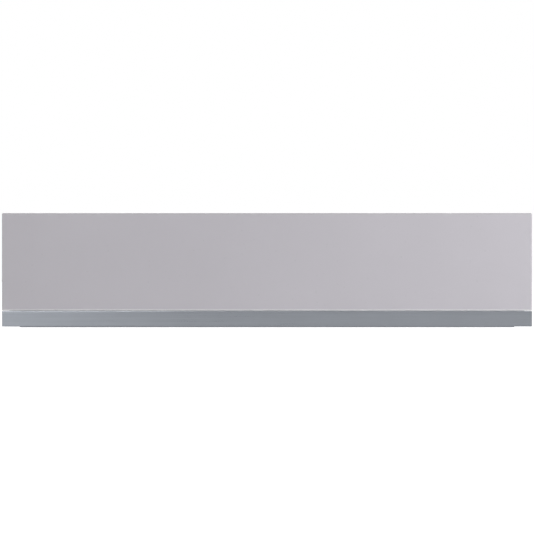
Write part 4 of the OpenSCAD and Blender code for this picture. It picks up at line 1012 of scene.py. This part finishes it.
def shown_rays(tree):
    """1 for rays that show the background itself: from the camera, off a gloss or through a clear piece."""
    path = tree.nodes.new("ShaderNodeLightPath").outputs
    shown = path["Is Camera Ray"]
    for ray in ("Is Glossy Ray", "Is Transmission Ray"):
        either = tree.nodes.new("ShaderNodeMath")
        either.operation = "MAXIMUM"
        tree.links.new(shown, either.inputs[0])
        tree.links.new(path[ray], either.inputs[1])
        shown = either.outputs[0]
    return shown


def floor():
    """A pale floor that looks white to the camera and in a gloss, and still takes the drawer's shadow."""
    bm = bmesh.new()
    bmesh.ops.create_grid(bm, x_segments=1, y_segments=1, size=FLOOR_REACH,
                          matrix=Matrix.Translation((0, 0, -FLOOR_BELOW)))
    mesh = bpy.data.meshes.new("floor")
    bm.to_mesh(mesh)
    bm.free()
    f = Finish("pale_floor", (0.80, 0.80, 0.80), rough=0.9)
    shown = f.maths("MULTIPLY", shown_rays(f.tree), FLOOR_GLOW)
    glow = f.add("ShaderNodeEmission", {"Strength": shown})
    both = f.add("ShaderNodeAddShader", {0: f.shader.outputs[0], 1: glow.outputs[0]})
    f.feed(f.tree.nodes["Material Output"].inputs["Surface"], both.outputs[0])
    mesh.materials.append(f.material)
    ground = bpy.data.objects.new("floor", mesh)
    bpy.context.scene.collection.objects.link(ground)


def studio():
    """A soft light from all sides, in front of a white background."""
    world = bpy.data.worlds.new("studio")
    bpy.context.scene.world = world
    world.use_nodes = True
    tree = world.node_tree
    sky = tree.nodes["Background"]
    sky.inputs["Color"].default_value = (1, 1, 1, 1)
    strength = tree.nodes.new("ShaderNodeMapRange")
    strength.inputs["To Min"].default_value = SOFT_LIGHT
    strength.inputs["To Max"].default_value = BACKGROUND
    tree.links.new(shown_rays(tree), strength.inputs["Value"])
    tree.links.new(strength.outputs["Result"], sky.inputs["Strength"])


def lamp(name, place, aim, size, watts):
    """A rectangular lamp of (width, height), turned towards a point."""
    light = bpy.data.lights.new(name, "AREA")
    light.shape = "RECTANGLE"
    light.size, light.size_y = size
    light.energy = watts
    item = bpy.data.objects.new(name, light)
    item.location = place
    item.rotation_euler = (Vector(aim) - Vector(place)).to_track_quat("-Z", "Y").to_euler()
    bpy.context.scene.collection.objects.link(item)


floor()
studio()
lamp("key", (1.0, -0.8, 0.55), (0.2, -0.27, 0.05), (0.5, 0.5), 9.5)
lamp("left", (-0.42, -1.3, 0.36), (-0.3, -0.27, 0.02), (0.4, 0.16), 1.25)
lamp("lip_left", (-0.38, -0.42, 0.95), (-0.38, -0.27, 0.02), (0.5, 0.2), 2.9)
lamp("lip", (0, -0.42, 0.95), (0, -0.27, 0.02), (1.1, 0.2), 2.4)
lamp("rear", (0.4, 1.9, 1.6), (0, 0.2, 0.05), (1.4, 1.4), 9)
bpy.context.scene.view_settings.view_transform = "Standard"
